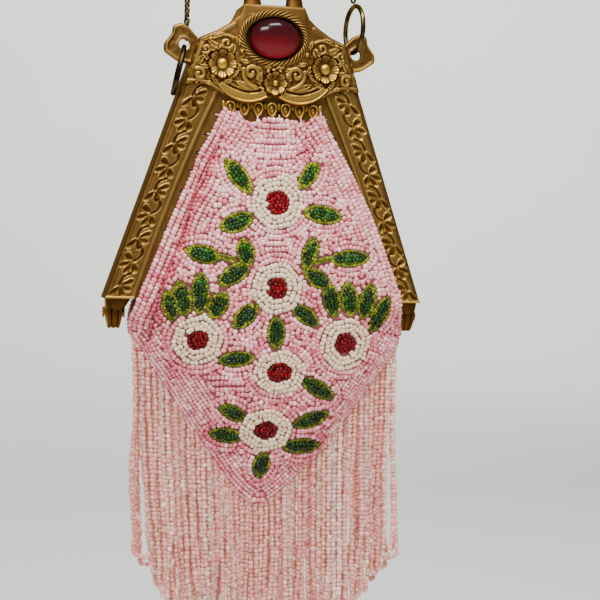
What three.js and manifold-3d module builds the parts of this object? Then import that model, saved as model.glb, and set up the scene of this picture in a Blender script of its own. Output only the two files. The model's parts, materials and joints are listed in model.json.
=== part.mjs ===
// Beaded crossbody bag: a hinged cast frame with a glass cabochon carries a hollow beaded
// pouch that ends in a point with a looped fringe. Two loose rings sit in the frame's ears,
// and a fine chain goes up from there and round as one loop.
// Units are millimetres. The front faces -Y, +X is to the viewer's right and +Z is up.
// The origin is the hang point, under the top of the chain's loop. The bag is modelled in a
// group of its own, whose zero height is the level of the frame's arm ends.

import * as THREE from 'three';
import { mergeVertices } from 'three/addons/utils/BufferGeometryUtils.js';
import { ParametricGeometry } from 'three/addons/geometries/ParametricGeometry.js';
import Module from 'manifold-3d';

const wasm = await Module();
wasm.setup();

// Driving dimensions
const GAP = 0.3; // clearance between pieces that touch on the real bag

// Frame outline, seen from the front
const ARM_END_X = 57.6; // outer corner of an arm's end
const SHOULDER = { x: 29.3, z: 82.5 }; // where an ear leaves the arm's outer edge
const ARM_WIDTH_END = 10.2; // width of an arm's face along X at its end
const ARM_WIDTH_FLARE = 2.8; // extra width where the arm runs into the crown
const CROWN_BOTTOM = 70.5;
const BELL_EDGE = [[26.4, 91.6], [20.4, 94.2], [15.9, 97.1], [12.6, 100], [10.9, 104]];

// Frame depth: each half is a shallow dish, its face FACE from the closing plane
const FACE = 7;
const FACE_THICKNESS = 1.2;
const WALL = 1.4;
const LIP_WIDTH = 2.6; // sewing lip inside the arms and under the crown, set back from the face
const LIP_THICKNESS = 1;
const STITCH_PITCH = 7.2;
const STITCH_HOLE_RADIUS = 0.6;
const TOP_STITCHES = 2; // stitch holes each side of the middle one under the crown

// Bow over the crown, and the ears
const BOW = { outer: 10.4, inner: 4.8, spring: 109, gapBottom: 104.3, foot: 100.3, front: -6.4, back: -1.6 };
const EAR_OUTLINE = [[26.2, 91.4], [30.2, 95.6], [32.6, 96.6], [35.2, 95.6], [35.5, 92.9], [38.3, 89.1],
  [38.3, 86.5], [33.8, 83.4], [28.4, 82.2]];
const EAR_HOLE = { x: 31.2, z: 89.1, radius: 2 };
const EAR = { front: -3.6, back: -1.6 };

// Stone and its rope bezel
const STONE = { z: 92.3, halfWidth: 9, halfHeight: 7, girdle: 1, dome: 4.8, around: 24, rows: 7 };
const ROPE = { halfWidth: 11.7, halfHeight: 8.7, radius: 1.3, y: -8.1, around: 40, sides: 6 };

// Cast relief on the crown: flowers, scrolls, swags and drops
const FLOWERS = [
  { x: -18.6, z: 81.9, radius: 4.9, petals: 6 },
  { x: 18.6, z: 81.9, radius: 4.9, petals: 6 },
  { x: 0, z: 76.1, radius: 4, petals: 6 },
];
// Petal sizes are shares of the flower's radius, apart from the rise
const PETAL = { reach: 0.6, halfLength: 0.42, halfWidth: 0.36, rise: 1.3 };
const BOSS = { radius: 1.5, rise: 1 };
const SCROLLS = [ // one side's C-scrolls: centre, radius, start angle and sweep in degrees
  { x: 9.4, z: 79.6, radius: 2.6, start: -60, sweep: 290 },
  { x: 14.2, z: 75.6, radius: 2.2, start: 150, sweep: 250 },
  { x: 21.4, z: 88.6, radius: 2, start: 20, sweep: 280 },
  { x: 25.6, z: 79.2, radius: 2, start: -120, sweep: 270 },
];
const SCROLL = { barRadius: 0.7, rise: 0.2, curl: 0.4, steps: 7 }; // curl: share of the radius that is lost
const SWAG = { outerX: 20.4, innerX: 2.7, tipZ: 74, innerDrop: 1, sag: 5.6, belly: 3.2, front: -8.5 };
const DROPS = { count: 7, pitch: 5, z: 68, halfWidth: 1.8, halfHeight: 3.2, y: -7, halfDepth: 1.1 };

// Vine along each arm: a waving stem with sprigs of three leaflets on alternate sides
const VINE = { sprigs: 9, firstZ: 4.5, lastZ: 66, wave: 1.5, stemRadius: 0.4 };
const LEAFLET = { halfLength: 1.9, halfWidth: 0.75, rise: 0.6, reach: 1.9, turn: 100, fan: 52 };

// Hinge at each arm's end: two cheeks, a tongue between them, and a pin along X
const HINGE = {
  x: 53.6, z: -5, radius: 4.4, cheek: 1.6, tongue: 2.2, pinRadius: 1.1, headRadius: 1.9, head: 0.5,
};

// Pouch sections below the arm ends: height, left and right half width, half depth
const POUCH_SECTIONS = [
  { z: -72, left: 6.0, right: 6.0, depth: 2.8 },
  { z: -66, left: 12.0, right: 12.2, depth: 4.2 },
  { z: -55, left: 19.4, right: 22.0, depth: 6.3 },
  { z: -42, left: 28.4, right: 32.2, depth: 8.5 },
  { z: -28, left: 38.0, right: 42.4, depth: 10.2 },
  { z: -17, left: 45.8, right: 50.6, depth: 11.2 },
  { z: -11.5, left: 48.6, right: 52.2, depth: 11.6 },
  { z: -9, left: 48.8, right: 49.4, depth: 11.8 },
];
const POUCH_TIP = -73;
const POUCH_INNER_TIP = -69;
const POUCH_RIM = 74;
// Pouch depth between the arms: height and half depth
const POUCH_UPPER = [[0, 12], [16, 11.8], [32, 11], [46, 9.4], [56, 6.8], [63, 4.4], [POUCH_RIM, 4.4]];
const POUCH_WALL = 2;
const POUCH_EDGE = 4; // rounding at the pouch's sides
const POUCH_SET_IN = 0.8; // how far the pouch's sides stop short of the arms' inner edges
const POUCH_AROUND = 44;
const POUCH_SWELL = 3.5; // how flat the pouch is between its sides: the swell's exponent
const MOUTH_SLIT = { halfWidth: 0.7, bottom: -4 };
const CREASE = {
  topX: -18.4, topZ: 52, lowX: -33.5, lowZ: -12.5, depth: 2.6, width: 4.5, most: 0.4,
};
const CREASE_FADE = { start: -0.1, full: 0.3, ebb: 1, gone: 1.4 }; // shares of the crease's length

// Fringe: strips on a band that follows the pouch's pointed lower edge
const FRINGE = {
  strips: 22, length: 79, halfWidth: 2.1, halfDepth: 1.9, taper: 0.9, leanLeft: 0.055, leanRight: 0,
};
const FRINGE_BAND = { drop: 0.6, height: 4, halfDepth: 2, left: -47.6, right: 51.4 };

// Rings and chain
const RING = { outerRadius: 9.2, wireRadius: 0.88, around: 22, sides: 8 };
const RING_TURN = { right: 6, left: -6 }; // degrees about the height
const LEFT_RING_LEAN = 12;
const CHAIN = {
  length: 1000, diameter: 2, x: 30, rightY: -2.6, leftY: -0.1, leftEnd: 90.4, sides: 8, steps: 78,
};

const RING_MEAN = RING.outerRadius - RING.wireRadius;
const RIGHT_RING_Z = EAR_HOLE.z + EAR_HOLE.radius - RING.wireRadius - GAP + RING_MEAN;
const CHAIN_RIGHT_END = RIGHT_RING_Z + RING.outerRadius + GAP;
const CHAIN_STRAIGHT = CHAIN.length - Math.PI * CHAIN.x;
const CHAIN_SPRING = (CHAIN_STRAIGHT + CHAIN_RIGHT_END + CHAIN.leftEnd) / 2;
const HANG_HEIGHT = CHAIN_SPRING + CHAIN.x - CHAIN.diameter / 2;

// Materials
const BRASS = new THREE.MeshStandardMaterial({ color: 0x9a7233, roughness: 0.38, metalness: 1 });
const DARK_BRASS = new THREE.MeshStandardMaterial({ color: 0x5c4a2c, roughness: 0.4, metalness: 1 });
const GARNET_GLASS = new THREE.MeshStandardMaterial({ color: 0x6e1420, roughness: 0.06, metalness: 0 });
const PINK_BEADS = new THREE.MeshStandardMaterial({ color: 0xe3b3ba, roughness: 0.35, metalness: 0 });
const PALE_BEADS = new THREE.MeshStandardMaterial({ color: 0xe0b8ac, roughness: 0.3, metalness: 0 });

const SHARPEST_CORNER = 0.5; // least cosine allowed for when a line is moved sideways

const degrees = THREE.MathUtils.degToRad;
const mix = THREE.MathUtils.lerp;
const { smoothstep } = THREE.MathUtils;

// Solids

/** A closed geometry as a solid: shared corners are merged and collapsed triangles left out. */
function solid(geometry) {
  const bare = geometry.clone();
  bare.deleteAttribute('normal');
  bare.deleteAttribute('uv');
  const merged = mergeVertices(bare, 1e-4);
  const corners = merged.index.array;
  const kept = [];
  for (let i = 0; i < corners.length; i += 3) {
    const [a, b, c] = [corners[i], corners[i + 1], corners[i + 2]];
    if (a !== b && b !== c && c !== a) kept.push(a, b, c);
  }
  const vertProperties = Float32Array.from(merged.attributes.position.array);
  const triVerts = Uint32Array.from(kept);
  return new wasm.Manifold(new wasm.Mesh({ numProp: 3, vertProperties, triVerts }));
}

/** All the given geometries joined into one solid. */
function joined(geometries) {
  return geometries.map(solid).reduce((whole, piece) => whole.add(piece));
}

/** A named mesh of a solid. */
function piece(name, body, material) {
  const result = body.getMesh();
  const geometry = new THREE.BufferGeometry();
  geometry.setAttribute('position', new THREE.BufferAttribute(result.vertProperties, 3));
  geometry.setIndex(new THREE.BufferAttribute(result.triVerts, 1));
  geometry.computeVertexNormals();
  const mesh = new THREE.Mesh(geometry, material);
  mesh.name = name;
  return mesh;
}

/** A flat outline in the XZ plane, given thickness from y = front to y = back. */
function slab(shape, front, back, curveSegments = 10) {
  const depth = back - front;
  const geometry = new THREE.ExtrudeGeometry(shape, { depth, bevelEnabled: false, curveSegments });
  return geometry.rotateX(Math.PI / 2).translate(0, back, 0);
}

/** A round bar along Y, centred on (x, z). */
function barAlongY(x, z, radius, front, back, sides) {
  const geometry = new THREE.CylinderGeometry(radius, radius, back - front, sides);
  return geometry.translate(x, (front + back) / 2, z);
}

/** A round bar along X, from x = low to x = high. */
function barAlongX(low, high, radius, z, sides) {
  const geometry = new THREE.CylinderGeometry(radius, radius, high - low, sides);
  return geometry.rotateZ(Math.PI / 2).translate((low + high) / 2, 0, z);
}

/** A small round swelling, turned by an angle in the plane of the face. */
function swelling(x, y, z, halfSizes, turn = 0, around = 6, rows = 2) {
  const geometry = new THREE.SphereGeometry(1, around, rows);
  return geometry.scale(...halfSizes).rotateY(turn).translate(x, y, z);
}

/** A bar of round section along a curve, with an even number of sides. */
function bar(curve, radius, sides, steps) {
  const section = new THREE.Shape();
  section.absarc(0, 0, radius, 0, 2 * Math.PI);
  const turns = { steps, bevelEnabled: false, extrudePath: curve, curveSegments: sides / 2 };
  return new THREE.ExtrudeGeometry(section, turns);
}

// Frame outline

/** X of an arm's outer edge at a height. */
function outerX(z) {
  return mix(ARM_END_X, SHOULDER.x, z / SHOULDER.z);
}

/** X of an arm's inner edge at a height: the face flares where it meets the crown. */
function innerX(z) {
  return outerX(z) - ARM_WIDTH_END - ARM_WIDTH_FLARE * Math.max(z / CROWN_BOTTOM, 0) ** 3;
}

/** The same points on the other side, in reverse order. */
function mirrored(points) {
  return points.map((p) => new THREE.Vector2(-p.x, p.y)).reverse();
}

/** Outer edge from the right arm's end over the crown to the left arm's end. */
function outerEdge() {
  const bell = new THREE.SplineCurve(BELL_EDGE.map(([x, z]) => new THREE.Vector2(x, z))).getPoints(12);
  const right = [new THREE.Vector2(ARM_END_X, 0), new THREE.Vector2(SHOULDER.x, SHOULDER.z), ...bell];
  return [...right, ...mirrored(right)];
}

/** Inner edge from the left arm's end under the crown to the right arm's end. */
function innerEdge() {
  const rows = 6;
  const right = [];
  for (let i = rows; i >= 0; i -= 1) {
    const z = (CROWN_BOTTOM * i) / rows;
    right.push(new THREE.Vector2(innerX(z), z));
  }
  return [...mirrored(right), ...right];
}

/** The line moved sideways by a distance, to the left of its direction. */
function offsetLine(points, distance) {
  return points.map((point, i) => {
    const before = points[Math.max(i - 1, 0)];
    const after = points[Math.min(i + 1, points.length - 1)];
    const incoming = point.clone().sub(before).normalize();
    const outgoing = after.clone().sub(point).normalize();
    const along = incoming.clone().add(outgoing).normalize();
    const normal = new THREE.Vector2(-along.y, along.x);
    const across = new THREE.Vector2(-incoming.y, incoming.x);
    const squeeze = incoming.lengthSq() ? Math.max(normal.dot(across), SHARPEST_CORNER) : 1;
    return point.clone().addScaledVector(normal, distance / squeeze);
  });
}

/** A closed band between a line and its offset. */
function band(points, distance) {
  return new THREE.Shape([...points, ...offsetLine(points, distance).reverse()]);
}

/** Wall that closes an arm's lower end. */
function armEnd(hand) {
  const corners = [[innerX(0), 0], [ARM_END_X, 0], [outerX(WALL), WALL], [innerX(WALL), WALL]];
  return new THREE.Shape(corners.map(([x, z]) => new THREE.Vector2(hand * x, z)));
}

/** One half of the frame without its ornament: side is -1 for the front half and 1 for the back half. */
function frameDish(side) {
  const between = (near, far) => [Math.min(side * near, side * far), Math.max(side * near, side * far)];
  const outer = outerEdge();
  const inner = innerEdge();
  const face = new THREE.Shape([...outer, ...inner]);
  const lip = band(offsetLine(inner, -WALL), LIP_WIDTH + WALL);
  const lipBack = FACE - FACE_THICKNESS - LIP_THICKNESS;
  const ends = [-1, 1].map((hand) => slab(armEnd(hand), ...between(FACE, GAP)));
  return joined([
    slab(face, ...between(FACE, FACE - FACE_THICKNESS)),
    slab(band(outer, WALL), ...between(FACE, GAP)),
    slab(lip, ...between(FACE - FACE_THICKNESS + GAP, lipBack)),
    ...ends,
  ]);
}

/** Stitch holes through the sewing lip of the front half. */
function stitchHoles() {
  const holes = [];
  const lipMiddle = LIP_WIDTH / 2;
  for (let z = STITCH_PITCH; z < CROWN_BOTTOM - LIP_WIDTH; z += STITCH_PITCH) {
    for (const hand of [-1, 1]) holes.push([hand * (innerX(z) - lipMiddle), z]);
  }
  for (let i = -TOP_STITCHES; i <= TOP_STITCHES; i += 1) {
    holes.push([i * STITCH_PITCH, CROWN_BOTTOM - lipMiddle]);
  }
  return joined(holes.map(([x, z]) => barAlongY(x, z, STITCH_HOLE_RADIUS, -FACE, 0, 5)));
}

/** Round hinge leaf between x = low and x = high, with a web up to its own half of the frame. */
function hingeLeaf(low, high, side) {
  const web = new THREE.BoxGeometry(high - low, HINGE.radius - 2 * GAP, -HINGE.z + 1);
  const webY = (side * (HINGE.radius + 2 * GAP)) / 2;
  web.translate((low + high) / 2, webY, (HINGE.z + 1) / 2);
  return joined([barAlongX(low, high, HINGE.radius, HINGE.z, 16), web]);
}

/** Bore for the hinge pin on one hand. */
function hingeBore(hand) {
  const reach = HINGE.cheek + HINGE.tongue + GAP;
  const low = hand * HINGE.x - reach;
  return solid(barAlongX(low, low + 2 * reach, HINGE.pinRadius + GAP, HINGE.z, 12));
}

// Ornament

/** Bow over the crown: an arch of even width with a round-topped gap. */
function crownBow() {
  const shape = new THREE.Shape();
  shape.moveTo(-BOW.outer, BOW.foot);
  shape.lineTo(BOW.outer, BOW.foot);
  shape.lineTo(BOW.outer, BOW.spring);
  shape.absarc(0, BOW.spring, BOW.outer, 0, Math.PI);
  const gap = new THREE.Path();
  gap.moveTo(-BOW.inner, BOW.gapBottom);
  gap.lineTo(BOW.inner, BOW.gapBottom);
  gap.lineTo(BOW.inner, BOW.spring);
  gap.absarc(0, BOW.spring, BOW.inner, 0, Math.PI);
  shape.holes.push(gap);
  return slab(shape, BOW.front, BOW.back);
}

/** One ear with its hole, on the left or the right. */
function ear(hand) {
  const shape = new THREE.Shape(EAR_OUTLINE.map(([x, z]) => new THREE.Vector2(hand * x, z)));
  const hole = new THREE.Path();
  hole.absarc(hand * EAR_HOLE.x, EAR_HOLE.z, EAR_HOLE.radius, 0, 2 * Math.PI);
  shape.holes.push(hole);
  return slab(shape, EAR.front, EAR.back, 7);
}

/** Flower: a ring of round petals about a boss. */
function flower({ x, z, radius, petals }) {
  const parts = [swelling(x, -FACE - BOSS.rise, z, [BOSS.radius, BOSS.radius, BOSS.radius], 0, 8, 4)];
  for (let i = 0; i < petals; i += 1) {
    const turn = (2 * Math.PI * i) / petals;
    const reach = PETAL.reach * radius;
    const halfSizes = [PETAL.halfLength * radius, PETAL.rise, PETAL.halfWidth * radius];
    parts.push(swelling(x + reach * Math.cos(turn), -FACE, z + reach * Math.sin(turn), halfSizes, -turn));
  }
  return parts;
}

/** C-scroll on one hand: a bar on an arc, lying half in the face. */
function scroll({ x, z, radius, start, sweep }, hand) {
  const points = [];
  for (let i = 0; i <= SCROLL.steps; i += 1) {
    const share = i / SCROLL.steps;
    const angle = degrees(start + sweep * share);
    const reach = radius * (1 - SCROLL.curl * share);
    const across = hand * (x + reach * Math.cos(angle));
    points.push(new THREE.Vector3(across, -FACE - SCROLL.rise, z + reach * Math.sin(angle)));
  }
  return bar(new THREE.CatmullRomCurve3(points), SCROLL.barRadius, 6, SCROLL.steps);
}

/** Swag on one hand: a crescent hung between two tips. */
function swag(hand) {
  const shape = new THREE.Shape();
  const middle = (SWAG.outerX + SWAG.innerX) / 2;
  const low = SWAG.tipZ - 2 * SWAG.sag;
  shape.moveTo(hand * SWAG.outerX, SWAG.tipZ);
  shape.quadraticCurveTo(hand * middle, low, hand * SWAG.innerX, SWAG.tipZ - SWAG.innerDrop);
  shape.quadraticCurveTo(hand * middle, low + 2 * SWAG.belly, hand * SWAG.outerX, SWAG.tipZ);
  return slab(shape, SWAG.front, -FACE + FACE_THICKNESS / 2, 8);
}

/** Row of small drops under the swags. */
function drops() {
  const halfSizes = [DROPS.halfWidth, DROPS.halfDepth, DROPS.halfHeight];
  const first = (-DROPS.pitch * (DROPS.count - 1)) / 2;
  return Array.from({ length: DROPS.count }, (_, i) => (
    swelling(first + i * DROPS.pitch, DROPS.y, DROPS.z, halfSizes)
  ));
}

/** Vine on one arm: a waving stem, and sprigs of leaflets that turn left and right in turn. */
function vine(hand) {
  const lean = Math.atan2(ARM_END_X - SHOULDER.x, SHOULDER.z);
  const middle = (z) => (outerX(z) + innerX(z)) / 2;
  const parts = [];
  const stem = [];
  for (let i = 0; i < VINE.sprigs; i += 1) {
    const z = mix(VINE.firstZ, VINE.lastZ, i / (VINE.sprigs - 1));
    const turned = i % 2 ? 1 : -1;
    const x = middle(z) + turned * VINE.wave;
    stem.push(new THREE.Vector3(hand * x, -FACE, z));
    for (const spread of [-1, 0, 1]) {
      const angle = Math.PI / 2 + lean + turned * degrees(LEAFLET.turn + LEAFLET.fan * spread);
      const halfSizes = [LEAFLET.halfLength, LEAFLET.rise, LEAFLET.halfWidth];
      const leafX = hand * (x - turned * VINE.wave + LEAFLET.reach * Math.cos(angle));
      const turn = hand > 0 ? -angle : angle;
      parts.push(swelling(leafX, -FACE, z + LEAFLET.reach * Math.sin(angle), halfSizes, turn));
    }
  }
  parts.push(bar(new THREE.CatmullRomCurve3(stem), VINE.stemRadius, 4, 18));
  return parts;
}

/** Rope bezel: an oval ring round the stone, standing on the face. */
function ropeBezel() {
  return new ParametricGeometry((u, v, target) => {
    const angle = 2 * Math.PI * u;
    const section = 2 * Math.PI * v;
    const out = ROPE.radius * Math.cos(section);
    const depth = ROPE.radius * Math.sin(section);
    const x = (ROPE.halfWidth + out) * Math.cos(angle);
    target.set(x, ROPE.y - depth, STONE.z + (ROPE.halfHeight + out) * Math.sin(angle));
  }, ROPE.around, ROPE.sides);
}

// Pieces

/** Front half of the frame with all its cast ornament, as one casting. */
function frontFrame() {
  const ornament = [
    crownBow(),
    ropeBezel(),
    ...FLOWERS.flatMap(flower),
    ...drops(),
  ];
  for (const hand of [-1, 1]) {
    ornament.push(ear(hand), swag(hand), ...SCROLLS.map((row) => scroll(row, hand)), ...vine(hand));
  }
  let body = frameDish(-1).subtract(stitchHoles()).add(joined(ornament));
  for (const hand of [-1, 1]) {
    const inside = hand * HINGE.x - HINGE.tongue / 2 - GAP - HINGE.cheek;
    const outside = hand * HINGE.x + HINGE.tongue / 2 + GAP;
    body = body.add(hingeLeaf(inside, inside + HINGE.cheek, -1));
    body = body.add(hingeLeaf(outside, outside + HINGE.cheek, -1));
    body = body.subtract(hingeBore(hand));
  }
  return piece('front_frame', body, BRASS);
}

/** Back half of the frame, plain. */
function backFrame() {
  let body = frameDish(1);
  for (const hand of [-1, 1]) {
    const low = hand * HINGE.x - HINGE.tongue / 2;
    body = body.add(hingeLeaf(low, low + HINGE.tongue, 1)).subtract(hingeBore(hand));
  }
  return piece('back_frame', body, BRASS);
}

/** Hinge pin with a rivet head at each end. */
function hingePin(hand, name) {
  const reach = HINGE.tongue / 2 + GAP + HINGE.cheek + GAP;
  const middle = hand * HINGE.x;
  const body = joined([
    barAlongX(middle - reach, middle + reach, HINGE.pinRadius, HINGE.z, 12),
    barAlongX(middle - reach - HINGE.head, middle - reach, HINGE.headRadius, HINGE.z, 12),
    barAlongX(middle + reach, middle + reach + HINGE.head, HINGE.headRadius, HINGE.z, 12),
  ]);
  return piece(name, body, BRASS);
}

/** Oval cabochon: a short girdle under a round dome, its flat back on the crown's face. */
function cabochon() {
  const profile = [new THREE.Vector2(0, 0), new THREE.Vector2(1, 0)];
  for (let i = 0; i <= STONE.rows; i += 1) {
    const angle = (Math.PI / 2) * (i / STONE.rows);
    const radius = i === STONE.rows ? 0 : Math.cos(angle);
    profile.push(new THREE.Vector2(radius, STONE.girdle + STONE.dome * Math.sin(angle)));
  }
  const geometry = new THREE.LatheGeometry(profile, STONE.around);
  geometry.scale(STONE.halfWidth, 1, STONE.halfHeight).rotateX(Math.PI);
  const mesh = piece('cabochon', solid(geometry), GARNET_GLASS);
  mesh.position.set(0, -FACE - GAP, STONE.z);
  return mesh;
}

/** Loose ring, standing in the plane of Y and Z before it is leaned sideways and turned about its height. */
function ring(name, x, z, turn, lean) {
  const geometry = new THREE.TorusGeometry(RING_MEAN, RING.wireRadius, RING.sides, RING.around);
  const mesh = piece(name, solid(geometry.rotateY(Math.PI / 2)), DARK_BRASS);
  mesh.position.set(x, (EAR.front + EAR.back) / 2, z);
  mesh.rotation.set(0, lean, turn, 'ZYX');
  return mesh;
}

/** Both rings: the right one is drawn up by the chain, the left one hangs down beside the arm. */
function rings() {
  const lean = degrees(LEFT_RING_LEAN);
  const leftTop = EAR_HOLE.z - EAR_HOLE.radius + RING.wireRadius + GAP;
  const leftX = -EAR_HOLE.x - RING_MEAN * Math.sin(lean);
  const leftZ = leftTop - RING_MEAN * Math.cos(lean);
  return [
    ring('ring_right', CHAIN.x + 2 * GAP, RIGHT_RING_Z, degrees(RING_TURN.right), 0),
    ring('ring_left', leftX, leftZ, degrees(RING_TURN.left), lean),
  ];
}

/** Route of the chain: up the right strand, round a half circle, down the left strand. */
class ChainRoute extends THREE.Curve {
  getPoint(t, target = new THREE.Vector3()) {
    const rightLength = CHAIN_SPRING - CHAIN_RIGHT_END;
    const leftLength = CHAIN_SPRING - CHAIN.leftEnd;
    const bend = Math.PI * CHAIN.x;
    const along = t * CHAIN.length;
    if (along < rightLength) {
      const stillToRise = 1 - along / rightLength;
      return target.set(CHAIN.x, CHAIN.rightY * stillToRise, CHAIN_RIGHT_END + along);
    }
    if (along < rightLength + bend) {
      const angle = (along - rightLength) / CHAIN.x;
      return target.set(CHAIN.x * Math.cos(angle), 0, CHAIN_SPRING + CHAIN.x * Math.sin(angle));
    }
    const down = along - rightLength - bend;
    return target.set(-CHAIN.x, (CHAIN.leftY * down) / leftLength, CHAIN_SPRING - down);
  }
}

/** Fine chain as a plain tube of its outer diameter. */
function chain() {
  const tube = bar(new ChainRoute(), CHAIN.diameter / 2, CHAIN.sides, CHAIN.steps);
  return piece('chain', solid(tube), DARK_BRASS);
}

/** The pouch's sections from the tip up: below the arm ends from the table, above them inside the arms. */
function pouchSections() {
  const upper = POUCH_UPPER.map(([z, depth]) => {
    const half = innerX(Math.min(z, CROWN_BOTTOM)) - POUCH_SET_IN;
    return { z, left: half, right: half, depth };
  });
  return [...POUCH_SECTIONS, ...upper];
}

/** Half depth of a section at x: round sides, and a soft swell between them. */
function pillow(x, half, depth) {
  const edge = Math.min(POUCH_EDGE, depth);
  const outside = Math.max(Math.abs(x) - (half - edge), 0) / edge;
  const inside = Math.min(Math.abs(x) / Math.max(half - edge, 0.1), 1);
  return edge * Math.sqrt(Math.max(1 - outside ** 2, 0)) + (depth - edge) * (1 - inside ** POUCH_SWELL);
}

/** Depth that the long crease beside the left arm takes out of the front. */
function crease(x, z) {
  const down = (CREASE.topZ - z) / (CREASE.topZ - CREASE.lowZ);
  const line = mix(CREASE.topX, CREASE.lowX, down);
  const rise = smoothstep(down, CREASE_FADE.start, CREASE_FADE.full);
  const fade = rise * (1 - smoothstep(down, CREASE_FADE.ebb, CREASE_FADE.gone));
  return CREASE.depth * fade * Math.exp(-(((x - line) / CREASE.width) ** 2));
}

/** A point on a section, inset from its outer face. The angle starts at the right and rises to the front. */
function pouchPoint(section, angle, inset, target) {
  const side = Math.cos(angle);
  const half = (side > 0 ? section.right : section.left) - inset;
  const x = half * side;
  const swell = pillow(x, half, section.depth - inset);
  const front = Math.sin(angle) > 0;
  const dent = front ? Math.min(crease(x, section.z), CREASE.most * swell) : 0;
  const edge = Math.abs(Math.sin(angle)) < 1e-6;
  target.set(x, edge ? 0 : (front ? dent - swell : swell), section.z);
}

/** Hollow pouch: outer face from the tip to the rim, inner face back down, slit open along the arms. */
function pouch() {
  const sections = pouchSections();
  const innerSections = sections.slice(1).reverse();
  const rows = 1 + sections.length + innerSections.length;
  const geometry = new ParametricGeometry((u, v, target) => {
    const row = Math.round(v * rows);
    const angle = -2 * Math.PI * u;
    if (row === 0) target.set(0, 0, POUCH_TIP);
    else if (row <= sections.length) pouchPoint(sections[row - 1], angle, 0, target);
    else if (row < rows) pouchPoint(innerSections[row - 1 - sections.length], angle, POUCH_WALL, target);
    else target.set(0, 0, POUCH_INNER_TIP);
  }, POUCH_AROUND, rows);
  const slitHeight = POUCH_RIM - MOUTH_SLIT.bottom + 2;
  const slit = new THREE.BoxGeometry(2 * ARM_END_X, 2 * MOUTH_SLIT.halfWidth, slitHeight);
  slit.translate(0, 0, MOUTH_SLIT.bottom + slitHeight / 2);
  return piece('bag_body', solid(geometry).subtract(solid(slit)), PINK_BEADS);
}

/** Height of the pouch's pointed lower edge at x. */
function lowerEdge(x) {
  const rows = [{ z: POUCH_TIP, left: 0, right: 0 }, ...POUCH_SECTIONS];
  const reach = (row) => (x < 0 ? row.left : row.right);
  const above = rows.findIndex((row) => reach(row) >= Math.abs(x));
  if (above < 1) return POUCH_TIP;
  const share = (Math.abs(x) - reach(rows[above - 1])) / (reach(rows[above]) - reach(rows[above - 1]));
  return mix(rows[above - 1].z, rows[above].z, share);
}

/** Fringe: strips that hang from a band under the pouch's pointed edge, all of one length. */
function fringe() {
  const inBand = (row) => row.left < -FRINGE_BAND.left && row.right < FRINGE_BAND.right;
  const lower = POUCH_SECTIONS.filter(inBand);
  const corners = [...lower.map((row) => -row.left).reverse(), 0, ...lower.map((row) => row.right)];
  const stations = [FRINGE_BAND.left, ...corners, FRINGE_BAND.right];
  const top = stations.map((x) => new THREE.Vector2(x, lowerEdge(x) - FRINGE_BAND.drop));
  const bottom = top.map((p) => new THREE.Vector2(p.x, p.y - FRINGE_BAND.height)).reverse();
  const parts = [slab(new THREE.Shape([...top, ...bottom]), -FRINGE_BAND.halfDepth, FRINGE_BAND.halfDepth)];
  for (let i = 0; i < FRINGE.strips; i += 1) {
    const across = (i + 0.5) / FRINGE.strips;
    const x = mix(FRINGE_BAND.left, FRINGE_BAND.right, across);
    const strip = new THREE.CylinderGeometry(1, FRINGE.taper, FRINGE.length, 6).rotateX(Math.PI / 2);
    strip.scale(FRINGE.halfWidth, FRINGE.halfDepth, 1).translate(0, 0, -FRINGE.length / 2);
    strip.rotateY(-Math.atan(mix(FRINGE.leanLeft, FRINGE.leanRight, across)));
    const innerSide = Math.sign(x) * Math.max(Math.abs(x) - FRINGE.halfWidth, 0);
    parts.push(strip.translate(x, 0, lowerEdge(innerSide) - FRINGE_BAND.drop));
  }
  return piece('fringe', joined(parts), PALE_BEADS);
}

const bag = new THREE.Group();
bag.position.z = -HANG_HEIGHT;
bag.add(
  frontFrame(),
  backFrame(),
  hingePin(-1, 'hinge_pin_left'),
  hingePin(1, 'hinge_pin_right'),
  cabochon(),
  ...rings(),
  chain(),
  pouch(),
  fringe(),
);

const part = new THREE.Group();
part.add(bag);

export default part;
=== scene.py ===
"""Beaded crossbody bag: a cast brass frame with a glass stone, a pouch covered in seed beads,
a looped bead fringe, two loose rings and a fine chain.

Sizes are millimetres in the bag's own frame: zero height is the level of the frame's arm ends,
the front faces -Y and +X is to the viewer's right.
"""

import json
from collections import namedtuple
from types import SimpleNamespace as Sizes

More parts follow.
